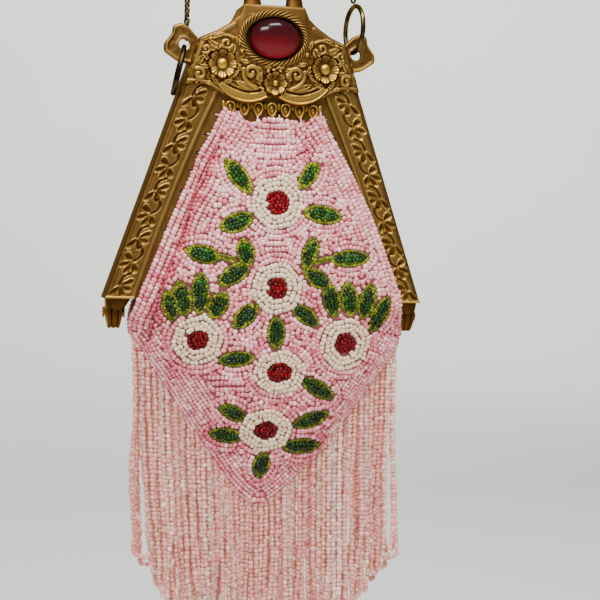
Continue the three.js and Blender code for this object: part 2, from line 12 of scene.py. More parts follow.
import bpy
import numpy as np
from mathutils import Matrix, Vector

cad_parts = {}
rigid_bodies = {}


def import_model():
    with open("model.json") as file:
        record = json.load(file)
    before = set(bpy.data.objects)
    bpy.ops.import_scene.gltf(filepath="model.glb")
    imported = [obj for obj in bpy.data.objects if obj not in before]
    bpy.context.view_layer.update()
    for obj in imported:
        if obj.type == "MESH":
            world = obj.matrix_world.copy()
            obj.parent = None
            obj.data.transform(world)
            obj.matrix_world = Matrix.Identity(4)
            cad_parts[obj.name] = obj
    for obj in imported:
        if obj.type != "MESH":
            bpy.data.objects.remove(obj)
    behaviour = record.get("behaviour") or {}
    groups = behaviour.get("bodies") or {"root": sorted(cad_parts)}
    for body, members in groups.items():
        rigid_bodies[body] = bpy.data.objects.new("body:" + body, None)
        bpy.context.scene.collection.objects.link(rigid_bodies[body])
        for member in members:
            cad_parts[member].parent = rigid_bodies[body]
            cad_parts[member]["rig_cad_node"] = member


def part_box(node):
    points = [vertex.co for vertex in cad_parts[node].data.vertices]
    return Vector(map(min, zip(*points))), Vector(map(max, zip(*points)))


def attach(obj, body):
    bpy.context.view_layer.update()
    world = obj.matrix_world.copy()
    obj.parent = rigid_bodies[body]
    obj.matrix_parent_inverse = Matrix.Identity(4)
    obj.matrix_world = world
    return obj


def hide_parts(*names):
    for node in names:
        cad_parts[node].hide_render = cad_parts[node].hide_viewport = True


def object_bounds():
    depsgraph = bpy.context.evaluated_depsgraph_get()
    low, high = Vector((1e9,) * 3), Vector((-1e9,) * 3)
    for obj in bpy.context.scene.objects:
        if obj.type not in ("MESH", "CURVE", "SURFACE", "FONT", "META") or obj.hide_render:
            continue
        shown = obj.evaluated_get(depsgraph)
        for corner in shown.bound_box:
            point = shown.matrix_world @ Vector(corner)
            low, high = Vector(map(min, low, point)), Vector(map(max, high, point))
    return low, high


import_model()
CAD_BOX = [list(corner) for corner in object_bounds()]

MM = 0.001
POUCH_TIP = -73.0
ARM_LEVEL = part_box("bag_body")[0].z / MM - POUCH_TIP
SEED = 11
chance = np.random.default_rng(SEED)
# Direction through the bag, from its front to its back
THROUGH = (0.0, 1.0, 0.0)

# Frame outline, as in the solids
ARM_END_X = 57.6
SHOULDER_X, SHOULDER_Z = 29.3, 82.5
ARM_WIDTH, ARM_FLARE = 10.2, 2.8
CROWN_BOTTOM = 70.5
FACE, CLOSING, WALL = 7.0, 0.3, 1.4
LIP_WIDTH, LIP_FRONT, LIP_BACK = 5.2, 6.1, 4.8
TOP_LIP = (61.4, 73.1)
ARM_TOP = 78.0
CROWN_TOP_LINE = np.array([
    # distance from the middle, height
    (0, 104), (10.9, 104), (12.6, 100), (15.9, 97.1), (20.4, 94.2), (26.4, 91.6), (29.3, 82.5), (31.6, 75.8),
])
CROWN_LOW_LINE = np.array([
    (0, 71.8), (1.6, 71.4), (3.6, 70.4), (6.2, 69.3), (9.3, 68.9), (12.4, 69.4), (15, 70.4), (17.4, 71.6),
    (18.6, 72.2), (20.5, 73.3), (24.5, 75.0), (28, 75.4), (31.6, 75.0),
])
CROWN = Sizes(swell=1.1, swell_ends=(0.02, 0.98), proud=0.5, edge_drop=0.5, edge_reach=0.8, seat_drop=0.4,
              plain_rise=0.1, wall_in=0.985, wall_half=0.6)
# petals darkens the upper petals of the cast flowers: painted shade
# right darkens the crown towards its right: painted shade
CROWN_MARK = Sizes(ground=0.35, petals=0.45, swag=0.18, right=0.07, right_reach=12.0, seat=0.03, wall=0.25,
                   rim=0.3, plain=0.5)
# Grid lines on an ornate and on a plain casting
GRID = {
    True: Sizes(arm=270, face=44, crown_x=280, crown_z=150, lip_x=170, lip_z=30),
    False: Sizes(arm=80, face=8, crown_x=90, crown_z=40, lip_x=30, lip_z=6),
}

# Cast ornament on the crown, one side; the other side mirrors it
WEAR = Sizes(window=4, proud=0.8, tall=0.26)
FLOWER = Sizes(notch=0.14, brink=0.4, floor=0.1, rise=1.9, flute=0.17, flutes=3, cleft=0.35, boss=1.9,
               collar=0.75, collar_gap=0.3, collar_half=0.35, shaded_from=0.15)
SIDE_FLOWER = Sizes(x=18.6, z=82.4, radius=5.2, boss=2.2, petals=8)
MID_FLOWER = Sizes(x=0.4, z=76.6, radius=4.4, boss=1.3, petals=8)
VOLUTE = Sizes(height=1.0, shrink=0.8, steps=30)
VOLUTES = [
    # eye x, eye z, outer radius, turns, start angle in degrees, hand, half width of its bar
    (8.2, 79.9, 2.8, 1.1, 215, -1, 0.95),
    (26.6, 78.5, 2.2, 1.05, 60, 1, 0.85),
    (17.2, 89.6, 2.1, 1.05, 200, 1, 0.8),
    (24.4, 87.4, 1.7, 1.0, 300, -1, 0.7),
]
RIBBONS = [
    # points of a raised line, then its half width and height
    ([(30.4, 76.2), (28, 76.4), (24.5, 76.2), (20.5, 74.4), (18.2, 72.9)], 0.6, 0.7),
    ([(19.5, 75.0), (16.9, 72.4), (13.3, 70.5), (9.0, 69.8), (5.1, 70.6), (2.4, 71.9)], 0.5, 1.1),
    ([(18.4, 75.9), (14.8, 73.8), (10.2, 72.5), (6.2, 72.7), (3.4, 73.7)], 0.4, 0.95),
    ([(17.6, 77.4), (14.2, 75.0), (10.2, 73.9), (6.6, 74.0), (4.6, 75.0)], 0.4, 0.7),
    ([(11.0, 81.0), (11.1, 78.6), (9.4, 76.2), (6.3, 74.7)], 0.9, 1.1),
    ([(28.4, 80.4), (27.2, 84.4), (25.4, 89.6)], 0.6, 0.6),
    ([(14.6, 91.6), (17.6, 92.8), (22.0, 91.0)], 0.6, 0.7),
]
CAST_LEAF = Sizes(height=0.9, ribs=0.16, rib_rate=7.5, groove=0.45, groove_half=0.16)
CAST_LEAVES = [
    # middle x, middle z, half length, half width, angle in degrees
    (10.6, 75.4, 3.4, 1.5, 200), (14.6, 79.0, 2.6, 1.3, 150), (21.6, 88.9, 2.8, 1.4, 35),
    (14.9, 87.6, 2.3, 1.2, 110), (23.0, 75.6, 2.1, 1.0, 15), (5.0, 77.6, 2.2, 1.1, 100),
    (13.0, 81.8, 2.1, 1.1, 55), (26.2, 83.4, 2.3, 1.2, 120), (29.6, 79.4, 2.4, 1.0, 108),
    (24.6, 84.9, 2.0, 1.1, 50), (25.0, 81.2, 2.0, 1.1, 5), (16.6, 76.4, 2.2, 1.0, 165),
    (20.6, 76.2, 2.1, 1.0, 225), (10.4, 83.6, 2.0, 1.0, 15), (28.0, 88.0, 2.0, 1.0, 115),
    (19.6, 92.4, 2.2, 1.0, 160), (5.4, 81.2, 1.9, 1.0, 40), (15.8, 78.0, 1.6, 0.9, 250),
    (24.0, 91.2, 2.4, 1.0, 155), (13.2, 90.6, 2.0, 1.0, 75), (21.6, 78.4, 1.7, 0.9, 300),
    (2.2, 82.0, 1.8, 0.9, 10), (18.4, 87.9, 1.5, 0.9, 90), (29.0, 84.2, 1.9, 0.8, 108),
]
BERRY_HEIGHT = 1.1
BERRIES = [
    # x, z, radius
    (4.9, 79.4, 1.1), (2.2, 80.6, 0.9), (0.0, 80.9, 1.1), (11.8, 87.2, 0.8), (21.4, 78.4, 0.8),
    (16.2, 86.8, 0.8), (27.4, 75.0, 0.9), (22.8, 91.0, 0.8), (3.9, 74.4, 0.8),
]
SHELL = Sizes(x=20.6, z=86.8, radius=3.0, rib_rate=8.4, open=1.7, brink=0.4, floor=0.5, rib=0.16, rise=0.35)
BORDER = Sizes(inset=(1.3, 0.78), half_width=1.2, height=0.45)
SWAG = Sizes(milling=0.72, inner=2.4, outer=19.5, floor=0.45, belly=0.4, rib=0.09, least=0.3)
STIPPLE = Sizes(height=0.2, floor=0.15, smooth_from=92.0, fade=5.0)
SEAT = Sizes(share=1.02, height=-0.2)
# The drops' wire and parts have high marks: painted light where they hang in the crown's shadow
DROPS = Sizes(count=7, pitch=5.0, z=67.6, half_width=1.482, half_height=2.214, pear=0.28, depth=7.0,
              wire_depth=6.8, wire=(0.598, 0.46), wire_mark=0.8, steps=28)
DROP_PARTS = [
    # x from the drop's middle in pitches, depth and height from it, half sizes, mark; the marks are set
    # bright as painted light where the drops hang in the crown's shadow
    (0.0, 0.5, -0.2, (1.1, 0.7, 1.7), 0.5), (0.0, 0.2, -0.7, (0.5, 0.8, 0.7), 0.7),
    (-0.5, 0.3, 1.2, (0.8, 0.9, 1.4), 0.75), (0.5, 0.3, 1.2, (0.8, 0.9, 1.4), 0.75),
]

# Vine cut into each arm's face: hearts of the sprigs on alternate sides
SPRIGS = Sizes(count=9, first=4.6, last=71.0)
SPRIG_KINDS = [
    # heart's place across the face, angles of the leaflets, line of the stem from the heart
    (-1.7, (238, 22, 338, 300), [(0, 0), (-0.4, 1.8), (0.5, 3.6), (2.4, 4.2)]),
    (-0.3, (200, 140, 300, 250), [(0, 0), (1.6, 1.0), (2.4, 2.9), (1.7, 4.5), (0.2, 4.8)]),
]
LEAFLET = Sizes(half_length=2.1, half_width=1.25, reach=2.45, depth=0.8, rim=0.24, lip=0.42,
                heel=0.78, flare=0.3)
STEM = Sizes(half_width=0.5, depth=0.5)
FACE_BEVEL = Sizes(height=0.3, middle=0.7, half_width=0.7, ground_from=1.3, fade=0.4)
FACE_GRAIN = 0.03
VINE_SHIFT = 0.6
EDGE_ROUND = Sizes(inset=1.1, back=1.5, drop=0.5, reach=1.2)
# One term makes the right arm's face a little brighter than the left: painted light
# The outer wall and its rounded corner have low marks, and the face darkens where it rounds off at the outer
# edge: painted shade
ARM_MARK = Sizes(wall=(0.1, 0.1, 0.12), corner=(0.14, 0.4), ground=0.46, by_hand=0.05, edge=0.4, lip=0.4,
                 back=0.2, plain=0.5)
MOULDING = Sizes(short=0.4, half_depth=0.5, half_height=0.45, steps=12, mark=0.8)
STITCH = Sizes(pitch=7.2, first=4.0, hole=0.6, pit=1.1, place=0.5)
TOP_STITCH = Sizes(hole=0.78, pit=0.77, set_back=0.12, back=0.1, mark=0.38)
TOP_HOLES = ((-17.6, 69.1), (-11.9, 66.9), (-5.4, 66.4), (2.7, 66.2), (10.4, 66.4), (17.7, 68.9))

# Bow, ears, hinge leaves and stone
BOW = Sizes(mid=7.6, spring=109.0, foot=99.5, half_width=2.8, half_depth=2.4, depth=4.0, foot_from=108.0,
            foot_lean=2.2, foot_spread=0.5, mark=0.08, foot_mark=0.2, sides=16, posts=11)
EAR_OUTLINE = np.array([
    (26.2, 91.4), (30.2, 95.6), (32.6, 96.6), (35.2, 95.6), (35.5, 92.9), (38.3, 89.1), (38.3, 86.5),
    (33.8, 83.4), (28.4, 82.2),
])
EAR_HOLE = Sizes(x=31.2, z=89.1, radius=2.0)
EAR = Sizes(front=3.5, back=1.6, steps=120, front_rings=22, back_rings=4, mark=0.38, rise_mark=0.42,
            back_mark=0.3)
# Raised lines of an ear: height, place as a share of the way from the hole to the outline, half width
EAR_RIM, EAR_COLLAR, EAR_RIBS = (0.75, 0.84, 0.11), (0.3, 0.08, 0.12), (0.05, 0.48, 0.18)
EAR_RIB_COUNT = 9
HINGE = Sizes(x=53.6, z=-5.0, radius=4.4, cheek=1.6, tongue=2.2,
              play=0.12, taper=0.24, reach=1.28, top=0.6, rounding=0.25)
HINGE_RIMS = (0.8, 0.16, 0.16, 0.8)
HINGE_SHOULDER = Sizes(top=1.6, fall=5.4, half_width=2.7, set_in=0.3, set_back=0.4, steps=8, sides=20,
                       mark=0.12)
STONE = Sizes(z=92.3, half_width=9.0, half_height=7.0, base=7.3, girdle=1.0, dome=4.8, base_rings=6,
              dome_rings=22)
ROPE = Sizes(half_width=11.7, half_height=8.8, radius=1.4, depth=8.2, strands=6, turns=-7, core=0.54,
             mark=0.72, steps=300, sides=36)

# Rings and chain
RING = Sizes(mean=8.32, wire=0.88, depth=2.6, steps=72, sides=14)
RIGHT_RING = Sizes(x=30.6, z=98.24, turn=6.0, lean=0.0, wear=0.5)
LEFT_RING = Sizes(x=-32.93, z=80.14, turn=-6.0, lean=12.0, wear=0.22)
CHAIN = Sizes(length=1000.0, x=30.0, right_end=107.74, left_end=90.4, spring=551.95,
              right_depth=2.6, left_depth=0.1)
LINK = Sizes(pitch=1.78, half_length=1.27, half_width=0.8, wire=0.48, steps=10, sides=5,
             probe=0.4, slant=45.0, wobble=8.0, wear=(0.3, 0.75))

# Cloth of the pouch: height, left and right half width, and depth at the middle
CLOTH_LOW = np.array([
    (-73, 2.0, 2.0, 1.0), (-72, 4.8, 4.8, 1.4), (-66, 10.8, 11.0, 2.6), (-55, 18.2, 20.8, 4.8),
    (-42, 27.2, 31.0, 7.0), (-28, 36.8, 41.4, 8.7), (-17, 44.6, 49.6, 9.6), (-11.5, 47.6, 51.2, 10.0),
    (-6, 47.6, 50.0, 10.3),
])
CLOTH_HIGH = np.array([
    # height, left and right reach past the arm's inner edge, depth at the middle
    (0, -1.6, 2.2, 10.5), (16, -2.6, 1.7, 10.3), (32, -2.9, 0.6, 9.6), (46, -3.3, -1.3, 8.6),
    (56, -3.8, -3.0, 7.7), (66, -4.5, -3.8, 7.0), (76, -4.5, -3.8, 6.8),
])
CLOTH_BACK_SHARE = 0.94
LIP_SEAT = 6.3
SEAM = Sizes(depth=0.5, low=-12.0, rise=13.0, over_arm=0.9, over_from=50.0, over_fall=40.0)
SOFTENING = Sizes(low=-80.0, high=82.0, step=0.25, window=27)
PILLOW = Sizes(least=0.2, flatness=2.8, fall=0.65)
PANEL = Sizes(cols=61, rows=80, top=66.0, tip_gap=0.3, inset=0.995, thickness=0.6)
PROBE, STEEPEST = 0.15, 4.0
CREASE = Sizes(depth=2.8, width=2.2, low=-26.0, low_fade=14.0, high=62.0, high_fade=10.0)
CREASE_LINE = np.array([
    # height, distance from the middle
    (-20, -42.4), (-13, -41), (3, -37.8), (13, -34.2), (20, -31.6), (33, -27.6), (42, -23.8), (55, -18.8),
    (62, -17),
])
FURROW_ENDS = Sizes(low_rate=4.0, high_fade=3.0)
FURROWS = [
    # x at its top and bottom, top and bottom height, depth, width
    (9.6, 8.4, 66, 50, 0.9, 1.3), (-9.0, -8.0, 66, 56, 1.3, 1.6), (13.2, 12.4, 64, 44, 1.5, 1.7),
    (-25.5, -31.0, 52, 14, 0.8, 1.5), (19.0, 27.0, 58, 20, 0.7, 1.6), (21.5, 24.0, 34, 10, 0.6, 1.6),
    (36.0, 40.0, 6, -18, 0.7, 1.6), (-36.0, -30.0, -14, -34, 0.6, 1.6), (14.0, 18.0, 14, -20, 0.5, 1.5),
]
CLOTH_TOP = np.array([(-30, 67.6), (-17, 67.2), (-13, 65), (-9, 62.6), (-4, 63.6), (1, 64.2), (6, 63.6),
                      (10, 62.8), (14, 64.6), (18, 66.8), (30, 67.6)])

# Beads: length along the thread, width, spacing on the thread, sides, rings of points
Bead = namedtuple("Bead", "length width spacing sides rings")
BEADS = {
    "pink": Bead(1.46, 1.98, 1.46, 8, 4),
    "fine_pink": Bead(1.3, 1.62, 1.3, 6, 3),
    "plain_pink": Bead(1.46, 1.98, 1.46, 6, 3),
    "ivory": Bead(1.5, 1.95, 1.5, 8, 4),
    "red": Bead(1.45, 1.75, 1.45, 8, 4),
    "leaf_rim": Bead(1.0, 1.3, 0.96, 6, 3),
    "leaf_core": Bead(1.5, 1.6, 1.4, 8, 4),
    "fringe": Bead(1.5, 2.0, 1.5, 6, 3),
}
BEAD_PROFILES = {
    4: np.array([(-0.5, 0.56), (-0.27, 0.95), (0.27, 0.95), (0.5, 0.56)]),
    3: np.array([(-0.5, 0.62), (0.0, 1.0), (0.5, 0.62)]),
}
BEAD_LIFT = 0.7
# How much loose and sewn beads differ in size, tilt and shade, and how far each kind strays
SPREAD = {True: Sizes(size=0.1, tilt=0.16, shade=0.13), False: Sizes(size=0.06, tilt=0.07, shade=0.2)}
STRAY = {"ivory": 0.13, "fringe": 0.12}
SEWN_STRAY = 0.06
# rise makes beads paler higher up: painted light from above
BEAD_SHADE = Sizes(middle=0.46, rise=0.2, over=45.0)
# crease and furrow darken the pink beads in the folds: painted shade
# glint and glints lift a share of the pink beads: painted highlights
PINK_SHADE = Sizes(glint=0.4, glints=0.1, crease=0.6, furrow=0.32, fine=0.12, patches=0.13)
BEAD_STEP = 0.3
ROW_PITCH = 1.84
CLEARANCE = 1.34
LEVEL_ROWS = Sizes(reach=54, points=217, top=66.5, wave=0.35, wave_rate=0.11, sag=1.2, sag_half=14,
                   sag_over=60)
PLACES = Sizes(left=-53, right=54, top=67.5, pitch=0.5, level_pitch=0.55, level_play=0.08)
EDGE = Sizes(top=67.5, tip_gap=0.4, points=330, reach=30, step=0.1, first=0.45, window=13, play=0.25,
             clear=0.7636)
# Rows along the pouch's edge: how many, their pitch, and the heights between which they run
SIDE_ROWS = (8, 1.74, -12.0, 68.0)
POINT_ROWS = (10, 1.4, -80.0, -12.0)
BACK_ROWS = (9, 1.74, -80.0, 68.0)
HEART = Sizes(first=1.45, rim=0.4, ragged=0.18, clear=0.95, lift=0.3, rim_lift=0.25, fill_inset=0.7, fill=1.0)
PETAL = Sizes(pitch=1.75, outer=0.9, inner=0.5, lobes=6, wave=0.04, clear=1.25, lift=0.25, fill_inset=0.6,
              fill=1.3)

# Embroidered flowers: middle x and z, half width and half height of the petals, radius of the red heart
BEAD_FLOWERS = np.array([
    (1.9, 34.7, 9.5, 9.4, 4.1), (2.3, 4.6, 9.2, 9.2, 3.4), (-25.0, -14.0, 8.8, 8.6, 3.5),
    (28.4, -14.9, 9.5, 9.4, 3.5), (4.4, -25.1, 9.7, 7.7, 4.2), (0.4, -46.0, 9.6, 7.6, 3.7),
])
# Embroidered leaves: tip x and z, base x and z, width
BEAD_LEAVES = np.array([
    (-16.2, 48.8, -7.8, 38.2, 5.6), (16.4, 49.0, 10.3, 40.3, 5.0), (25.4, 30.1, 11.9, 31.8, 5.8),
    (-17.8, 25.3, -7.2, 29.5, 6.2), (-29.3, 17.0, -18.5, 14.9, 5.8), (-10.3, 21.3, -8.0, 12.7, 5.8),
    (-18.2, 5.8, -8.0, 12.7, 5.8), (15.7, 22.4, 12.5, 11.5, 5.4), (35.9, 16.1, 21.8, 15.2, 5.4),
    (21.6, 5.5, 11.9, 11.5, 5.4), (-35.6, 2.6, -33.9, -7.0, 4.4), (-32.2, 6.0, -29.8, -5.0, 5.8),
    (-24.7, 9.2, -25.0, -4.3, 6.0), (-16.0, 2.4, -21.0, -5.7, 6.2), (21.1, 6.3, 23.9, -5.0, 6.0),
    (28.3, 6.9, 29.8, -4.3, 6.0), (37.9, 6.3, 34.2, -5.1, 6.0), (44.0, 1.8, 38.4, -10.2, 5.4),
    (-12.5, -9.1, -5.0, -1.6, 5.8), (17.8, -8.0, 8.4, -1.7, 5.0), (2.7, -16.6, 2.5, -5.8, 5.8),
    (-17.0, -21.0, -5.6, -20.0, 5.0), (24.7, -34.2, 13.1, -27.9, 5.0), (-15.9, -37.7, -7.2, -41.6, 4.4),
    (-18.7, -47.0, -8.0, -48.5, 4.6), (23.3, -40.3, 10.8, -44.3, 4.8), (21.0, -51.9, 7.6, -52.0, 4.8),
    (-1.1, -63.0, 0.5, -54.3, 5.6),
])
LEAF_MARGIN = Sizes(width=0.8, end=0.7)
# Two rims of a leaf: how far each lies in from its side and past its ends
LEAF_RIMS = ((0.45, -0.45), (1.1, -1.4))
LEAF_RIM = Sizes(clear=0.78, lift=0.2, fill_inset=0.5, fill=0.82)
LEAF_CORE = Sizes(row=1.3, margin=1.6, play=0.2, rims=3.1, clear=1.0, lift=0.25, fill=0.9)
ECHOES = (0.95, 2.7)
# Embroidered stems: start x and z, end x and z
STEM_BEADS = Sizes(clear=0.9, lift=0.25, beside=(0.2, 1.1))
BEAD_STEMS = [(-18.5, 14.9, -12.4, 13.4), (21.4, 15.0, 14.6, 13.0)]

# Fringe of looped strands
# glint and glints lift a share of the fringe beads: painted highlights
FRINGE = Sizes(loops=27, length=77.5, left=-46.6, right=51.2, lean_left=0.05, lean_right=0.0,
               layer=1.5, half_gap=1.0, sway=1.7, spread=0.8, lean_spread=0.006, depth_spread=0.15,
               sways=(0.4, 1.3), lengths=(0.97, 1.01), open_from=0.9, opening=2.6, set_in=0.5, tuck=0.6,
               turn=1.6, glint=0.35, glints=0.08, paler=(0.05, 0.16))
# Sewing thread: how it leaves a hole, its bow and radius, and how far it runs across, out and down
SEWING = Sizes(set_in=0.2, bow=0.5, radius=0.3, short=4.0, lean=0.985, top=(0.2, 1.3, 3.4),
               side=(2.4, 1.5, 0.8))

# Camera: turn to the left, height and roll in degrees, distance, and the middle's place in the picture
CAMERA = Sizes(yaw=14.4, pitch=2.3, roll=1.5, distance=490.0, across=-13.3, rise=0.0)
PICTURE_MM = 0.36
PICTURE_SIDE = 600
SENSOR = 36.0

# Floor and light, in metres
FLOOR = Sizes(drop=0.05, half=14.0, cols=9, back=2.0, bend=1.0, top=4.0)
SURROUND = Sizes(colour=(0.78, 0.78, 0.77, 1.0), strength=0.36)
LAMPS = [
    # place and aim from the bag's middle, width, height, power, whether it shows in reflections
    ((-0.26, -0.42, 0.62), (0, 0, 0), 0.3, 0.16, 6.5, True),
    ((0.1, -0.3, 0.85), (0, 0, 0), 0.36, 0.16, 7.0, True),
    ((0.9, -0.8, 0.1), (0, 0, 0), 1.4, 1.2, 5.0, False),
    ((0.1, 0.8, 0.9), (0, 0, 0), 0.8, 0.4, 7.0, True),
    ((0.9, 1.0, 1.7), (0.9, 3.0, 1.4), 3.0, 0.5, 112.0, True),
]

# Finishes: scales of clouds and grain, and how much they change a finish
METAL = Sizes(cloud=260.0, share=0.28, plain=0.45, grain=1500.0, grain_strength=0.25, grain_depth=0.0002)
GLASS = Sizes(coat_roughness=0.1, radius=(1.0, 0.7, 0.6), scale=0.0016, cloud=700.0, share=0.3)
WEAVE = Sizes(roughness=0.85, threads=320.0, cloud=60.0, share=0.6, strength=0.3, depth=0.0002)
STONE_CLOUD = Sizes(scale=160.0, share=0.12)
EDGE_TINT = (0.62, 0.48, 0.26, 1.0)


# Small helpers

def clamp(value):
    """A value held between zero and one."""
    return np.clip(value, 0, 1)


def hump(share):
    """A round top over a share of its half width: one in the middle, nothing from the edge outwards."""
    return np.sqrt(clamp(1 - share ** 2))


def bell(share, place, half_width, power=2):
    """A soft rise round a place, falling off to both sides."""
    return np.exp(-((share - place) / half_width) ** power)


def around(count):
    """Even angles round a full turn."""
    return np.arange(count) / count * 2 * np.pi


# Shading

def tone(red, green, blue):
    """A colour given in screen values from 0 to 255, as linear light."""
    level = np.array([red, green, blue]) / 255
    linear = np.where(level <= 0.04045, level / 12.92, ((level + 0.055) / 1.055) ** 2.4)
    return (*[float(channel) for channel in linear], 1.0)


class Shade:
    """A socket of a finish. Arithmetic on it adds Math nodes."""

    def __init__(self, finish, socket):
        self.finish, self.socket = finish, socket

    def maths(self, operation, first, second):
        return self.finish.node("ShaderNodeMath", {"operation": operation}, {0: first, 1: second})

    def __add__(self, other):
        return self.maths("ADD", self, other)

    def __radd__(self, other):
        return self.maths("ADD", other, self)

    def __sub__(self, other):
        return self.maths("SUBTRACT", self, other)

    def __rsub__(self, other):
        return self.maths("SUBTRACT", other, self)

    def __mul__(self, other):
        return self.maths("MULTIPLY", self, other)

    def __rmul__(self, other):
        return self.maths("MULTIPLY", other, self)


class Finish:
    """A material round one Principled shader. node() adds any node: settings first, then sockets."""

    def __init__(self, name, **constants):
        self.material = bpy.data.materials.new(name)
        self.material.use_nodes = True
        self.tree = self.material.node_tree
        self.shader = self.tree.nodes["Principled BSDF"]
        for socket, value in constants.items():
            self.shader.inputs[socket.replace("_", " ")].default_value = value

    def node(self, kind, settings=None, sockets=None, output=0):
        made = self.tree.nodes.new(kind)
        for name, value in (settings or {}).items():
            if name == "stops":
                self.set_stops(made.color_ramp, value)
            else:
                setattr(made, name, value)
        for key, value in (sockets or {}).items():
            self.join(value, made.inputs[key])
        return Shade(self, made.outputs[output])

    def join(self, value, socket):
        if isinstance(value, Shade):
            self.tree.links.new(value.socket, socket)
        else:
            socket.default_value = value

    @staticmethod
    def set_stops(ramp, stops):
        while len(ramp.elements) < len(stops):
            ramp.elements.new(1.0)
        for element, (place, colour) in zip(ramp.elements, stops):
            element.position, element.color = place, colour

    def set(self, socket, value):
        self.join(value, self.shader.inputs[socket])

    def place(self):
        return self.node("ShaderNodeTexCoord", output="Object")

    def mark(self):
        return self.node("ShaderNodeAttribute", {"attribute_name": "mark"}, output="Fac")

    def noise(self, scale, detail=2.0):
        sockets = {"Vector": self.place(), "Scale": scale, "Detail": detail}
        return self.node("ShaderNodeTexNoise", None, sockets)

    def ramp(self, factor, stops):
        return self.node("ShaderNodeValToRGB", {"stops": stops}, {"Fac": factor})

    def blend(self, factor, first, second):
        settings = {"data_type": "RGBA", "blend_type": "MIX"}
        return self.node("ShaderNodeMix", settings, {0: factor, 6: first, 7: second}, output=2)

    def bump(self, height, strength, distance):
        sockets = {"Height": height, "Strength": strength, "Distance": distance}
        self.set("Normal", self.node("ShaderNodeBump", None, sockets))


def metal_finish(name, stops, dull, bright, marked=True):
    """Cast metal: the mark carries how worn a spot is, from the dark hollows to the rubbed tops, and in
    places painted shade and painted light as well.
    """
    finish = Finish(name, Metallic=1.0, Specular_Tint=EDGE_TINT)
    cloud = finish.noise(METAL.cloud, 4.0)
    wear_and_painted_light = (finish.mark() if marked else METAL.plain) + (cloud - 0.5) * METAL.share
    finish.set("Base Color", finish.ramp(wear_and_painted_light, stops))
    finish.set("Roughness", dull - wear_and_painted_light * (dull - bright))
    finish.bump(finish.noise(METAL.grain, 3.0), METAL.grain_strength, METAL.grain_depth)
    return finish.material


def bead_finish(name, stops, roughness, gloss=0.5, coat=0.0, glow=0.0, painted_light=0.0, painted_light_stops=None):
    """Glass seed beads: the mark is each bead's shade, its own tone with painted light and shade added, and
    light is scattered inside a bead. Emission adds painted light.
    """
    finish = Finish(name, Roughness=roughness, Specular_IOR_Level=gloss, Coat_Weight=coat,
                    Coat_Roughness=GLASS.coat_roughness, Subsurface_Weight=glow,
                    Subsurface_Radius=GLASS.radius, Subsurface_Scale=GLASS.scale, Emission_Strength=painted_light)
    shade = finish.mark() + (finish.noise(GLASS.cloud) - 0.5) * GLASS.share
    finish.set("Base Color", finish.ramp(shade, stops))
    if painted_light:
        finish.set("Emission Color", finish.ramp(shade, painted_light_stops or stops))
    return finish.material


def cloth_finish(name, ground, thread):
    """Plain woven cloth: two crossing waves of threads about half a millimetre apart."""
    finish = Finish(name, Roughness=WEAVE.roughness)
    warp, weft = (finish.node("ShaderNodeTexWave", {"bands_direction": axis},
                              {"Vector": finish.place(), "Scale": WEAVE.threads}) for axis in "XZ")
    weave = warp * 0.5 + weft * 0.5
    cloud = finish.noise(WEAVE.cloud)
    finish.set("Base Color", finish.blend(weave * WEAVE.share + cloud * (1 - WEAVE.share), ground, thread))
    finish.bump(weave, WEAVE.strength, WEAVE.depth)
    return finish.material


def stone_finish():
    """Garnet glass, polished: darker under its upper edge and a warmer red low down, painted shade above and
    a painted glow below standing in for light that passes through the stone.
    """
    finish = Finish("garnet_glass", Roughness=0.16, IOR=1.5, Specular_IOR_Level=0.16)
    height = finish.node("ShaderNodeSeparateXYZ", None, {0: finish.place()}, output="Z")
    low = (ARM_LEVEL + STONE.z - STONE.half_height) * MM
    share = (height - low) * (0.5 / (STONE.half_height * MM))
    share = share + (finish.noise(STONE_CLOUD.scale) - 0.5) * STONE_CLOUD.share
    finish.set("Base Color", finish.ramp(share, GARNET_GLOW_STOPS))
    return finish.material


BRASS_STOPS = [(0.0, tone(76, 45, 15)), (0.25, tone(102, 70, 31)), (0.55, tone(145, 112, 60)),
               (0.8, tone(188, 150, 66)), (1.0, tone(216, 171, 48))]
DARK_STOPS = [(0.0, tone(26, 21, 12)), (0.5, tone(80, 68, 42)), (1.0, tone(150, 132, 90))]
BRASS = metal_finish("cast_brass", BRASS_STOPS, 0.58, 0.42)
PIN_BRASS = metal_finish("pin_brass", BRASS_STOPS, 0.55, 0.3, False)
DARK_BRASS = metal_finish("dark_brass", DARK_STOPS, 0.5, 0.22)
# Dark at the top and warm red low down: painted shade and a painted glow of light through the stone
GARNET_GLOW_STOPS = [(0.0, tone(136, 27, 36)), (0.3, tone(104, 17, 26)), (0.6, tone(57, 11, 15)),
                (0.9, tone(36, 10, 11))]
GARNET = stone_finish()
CLOTH = cloth_finish("rose_cloth", tone(196, 108, 120), tone(220, 146, 152))
THREAD = cloth_finish("pale_thread", tone(224, 172, 172), tone(244, 208, 204))
PINK = [(0.0, tone(206, 98, 110)), (0.45, tone(242, 156, 162)), (1.0, tone(255, 208, 205))]
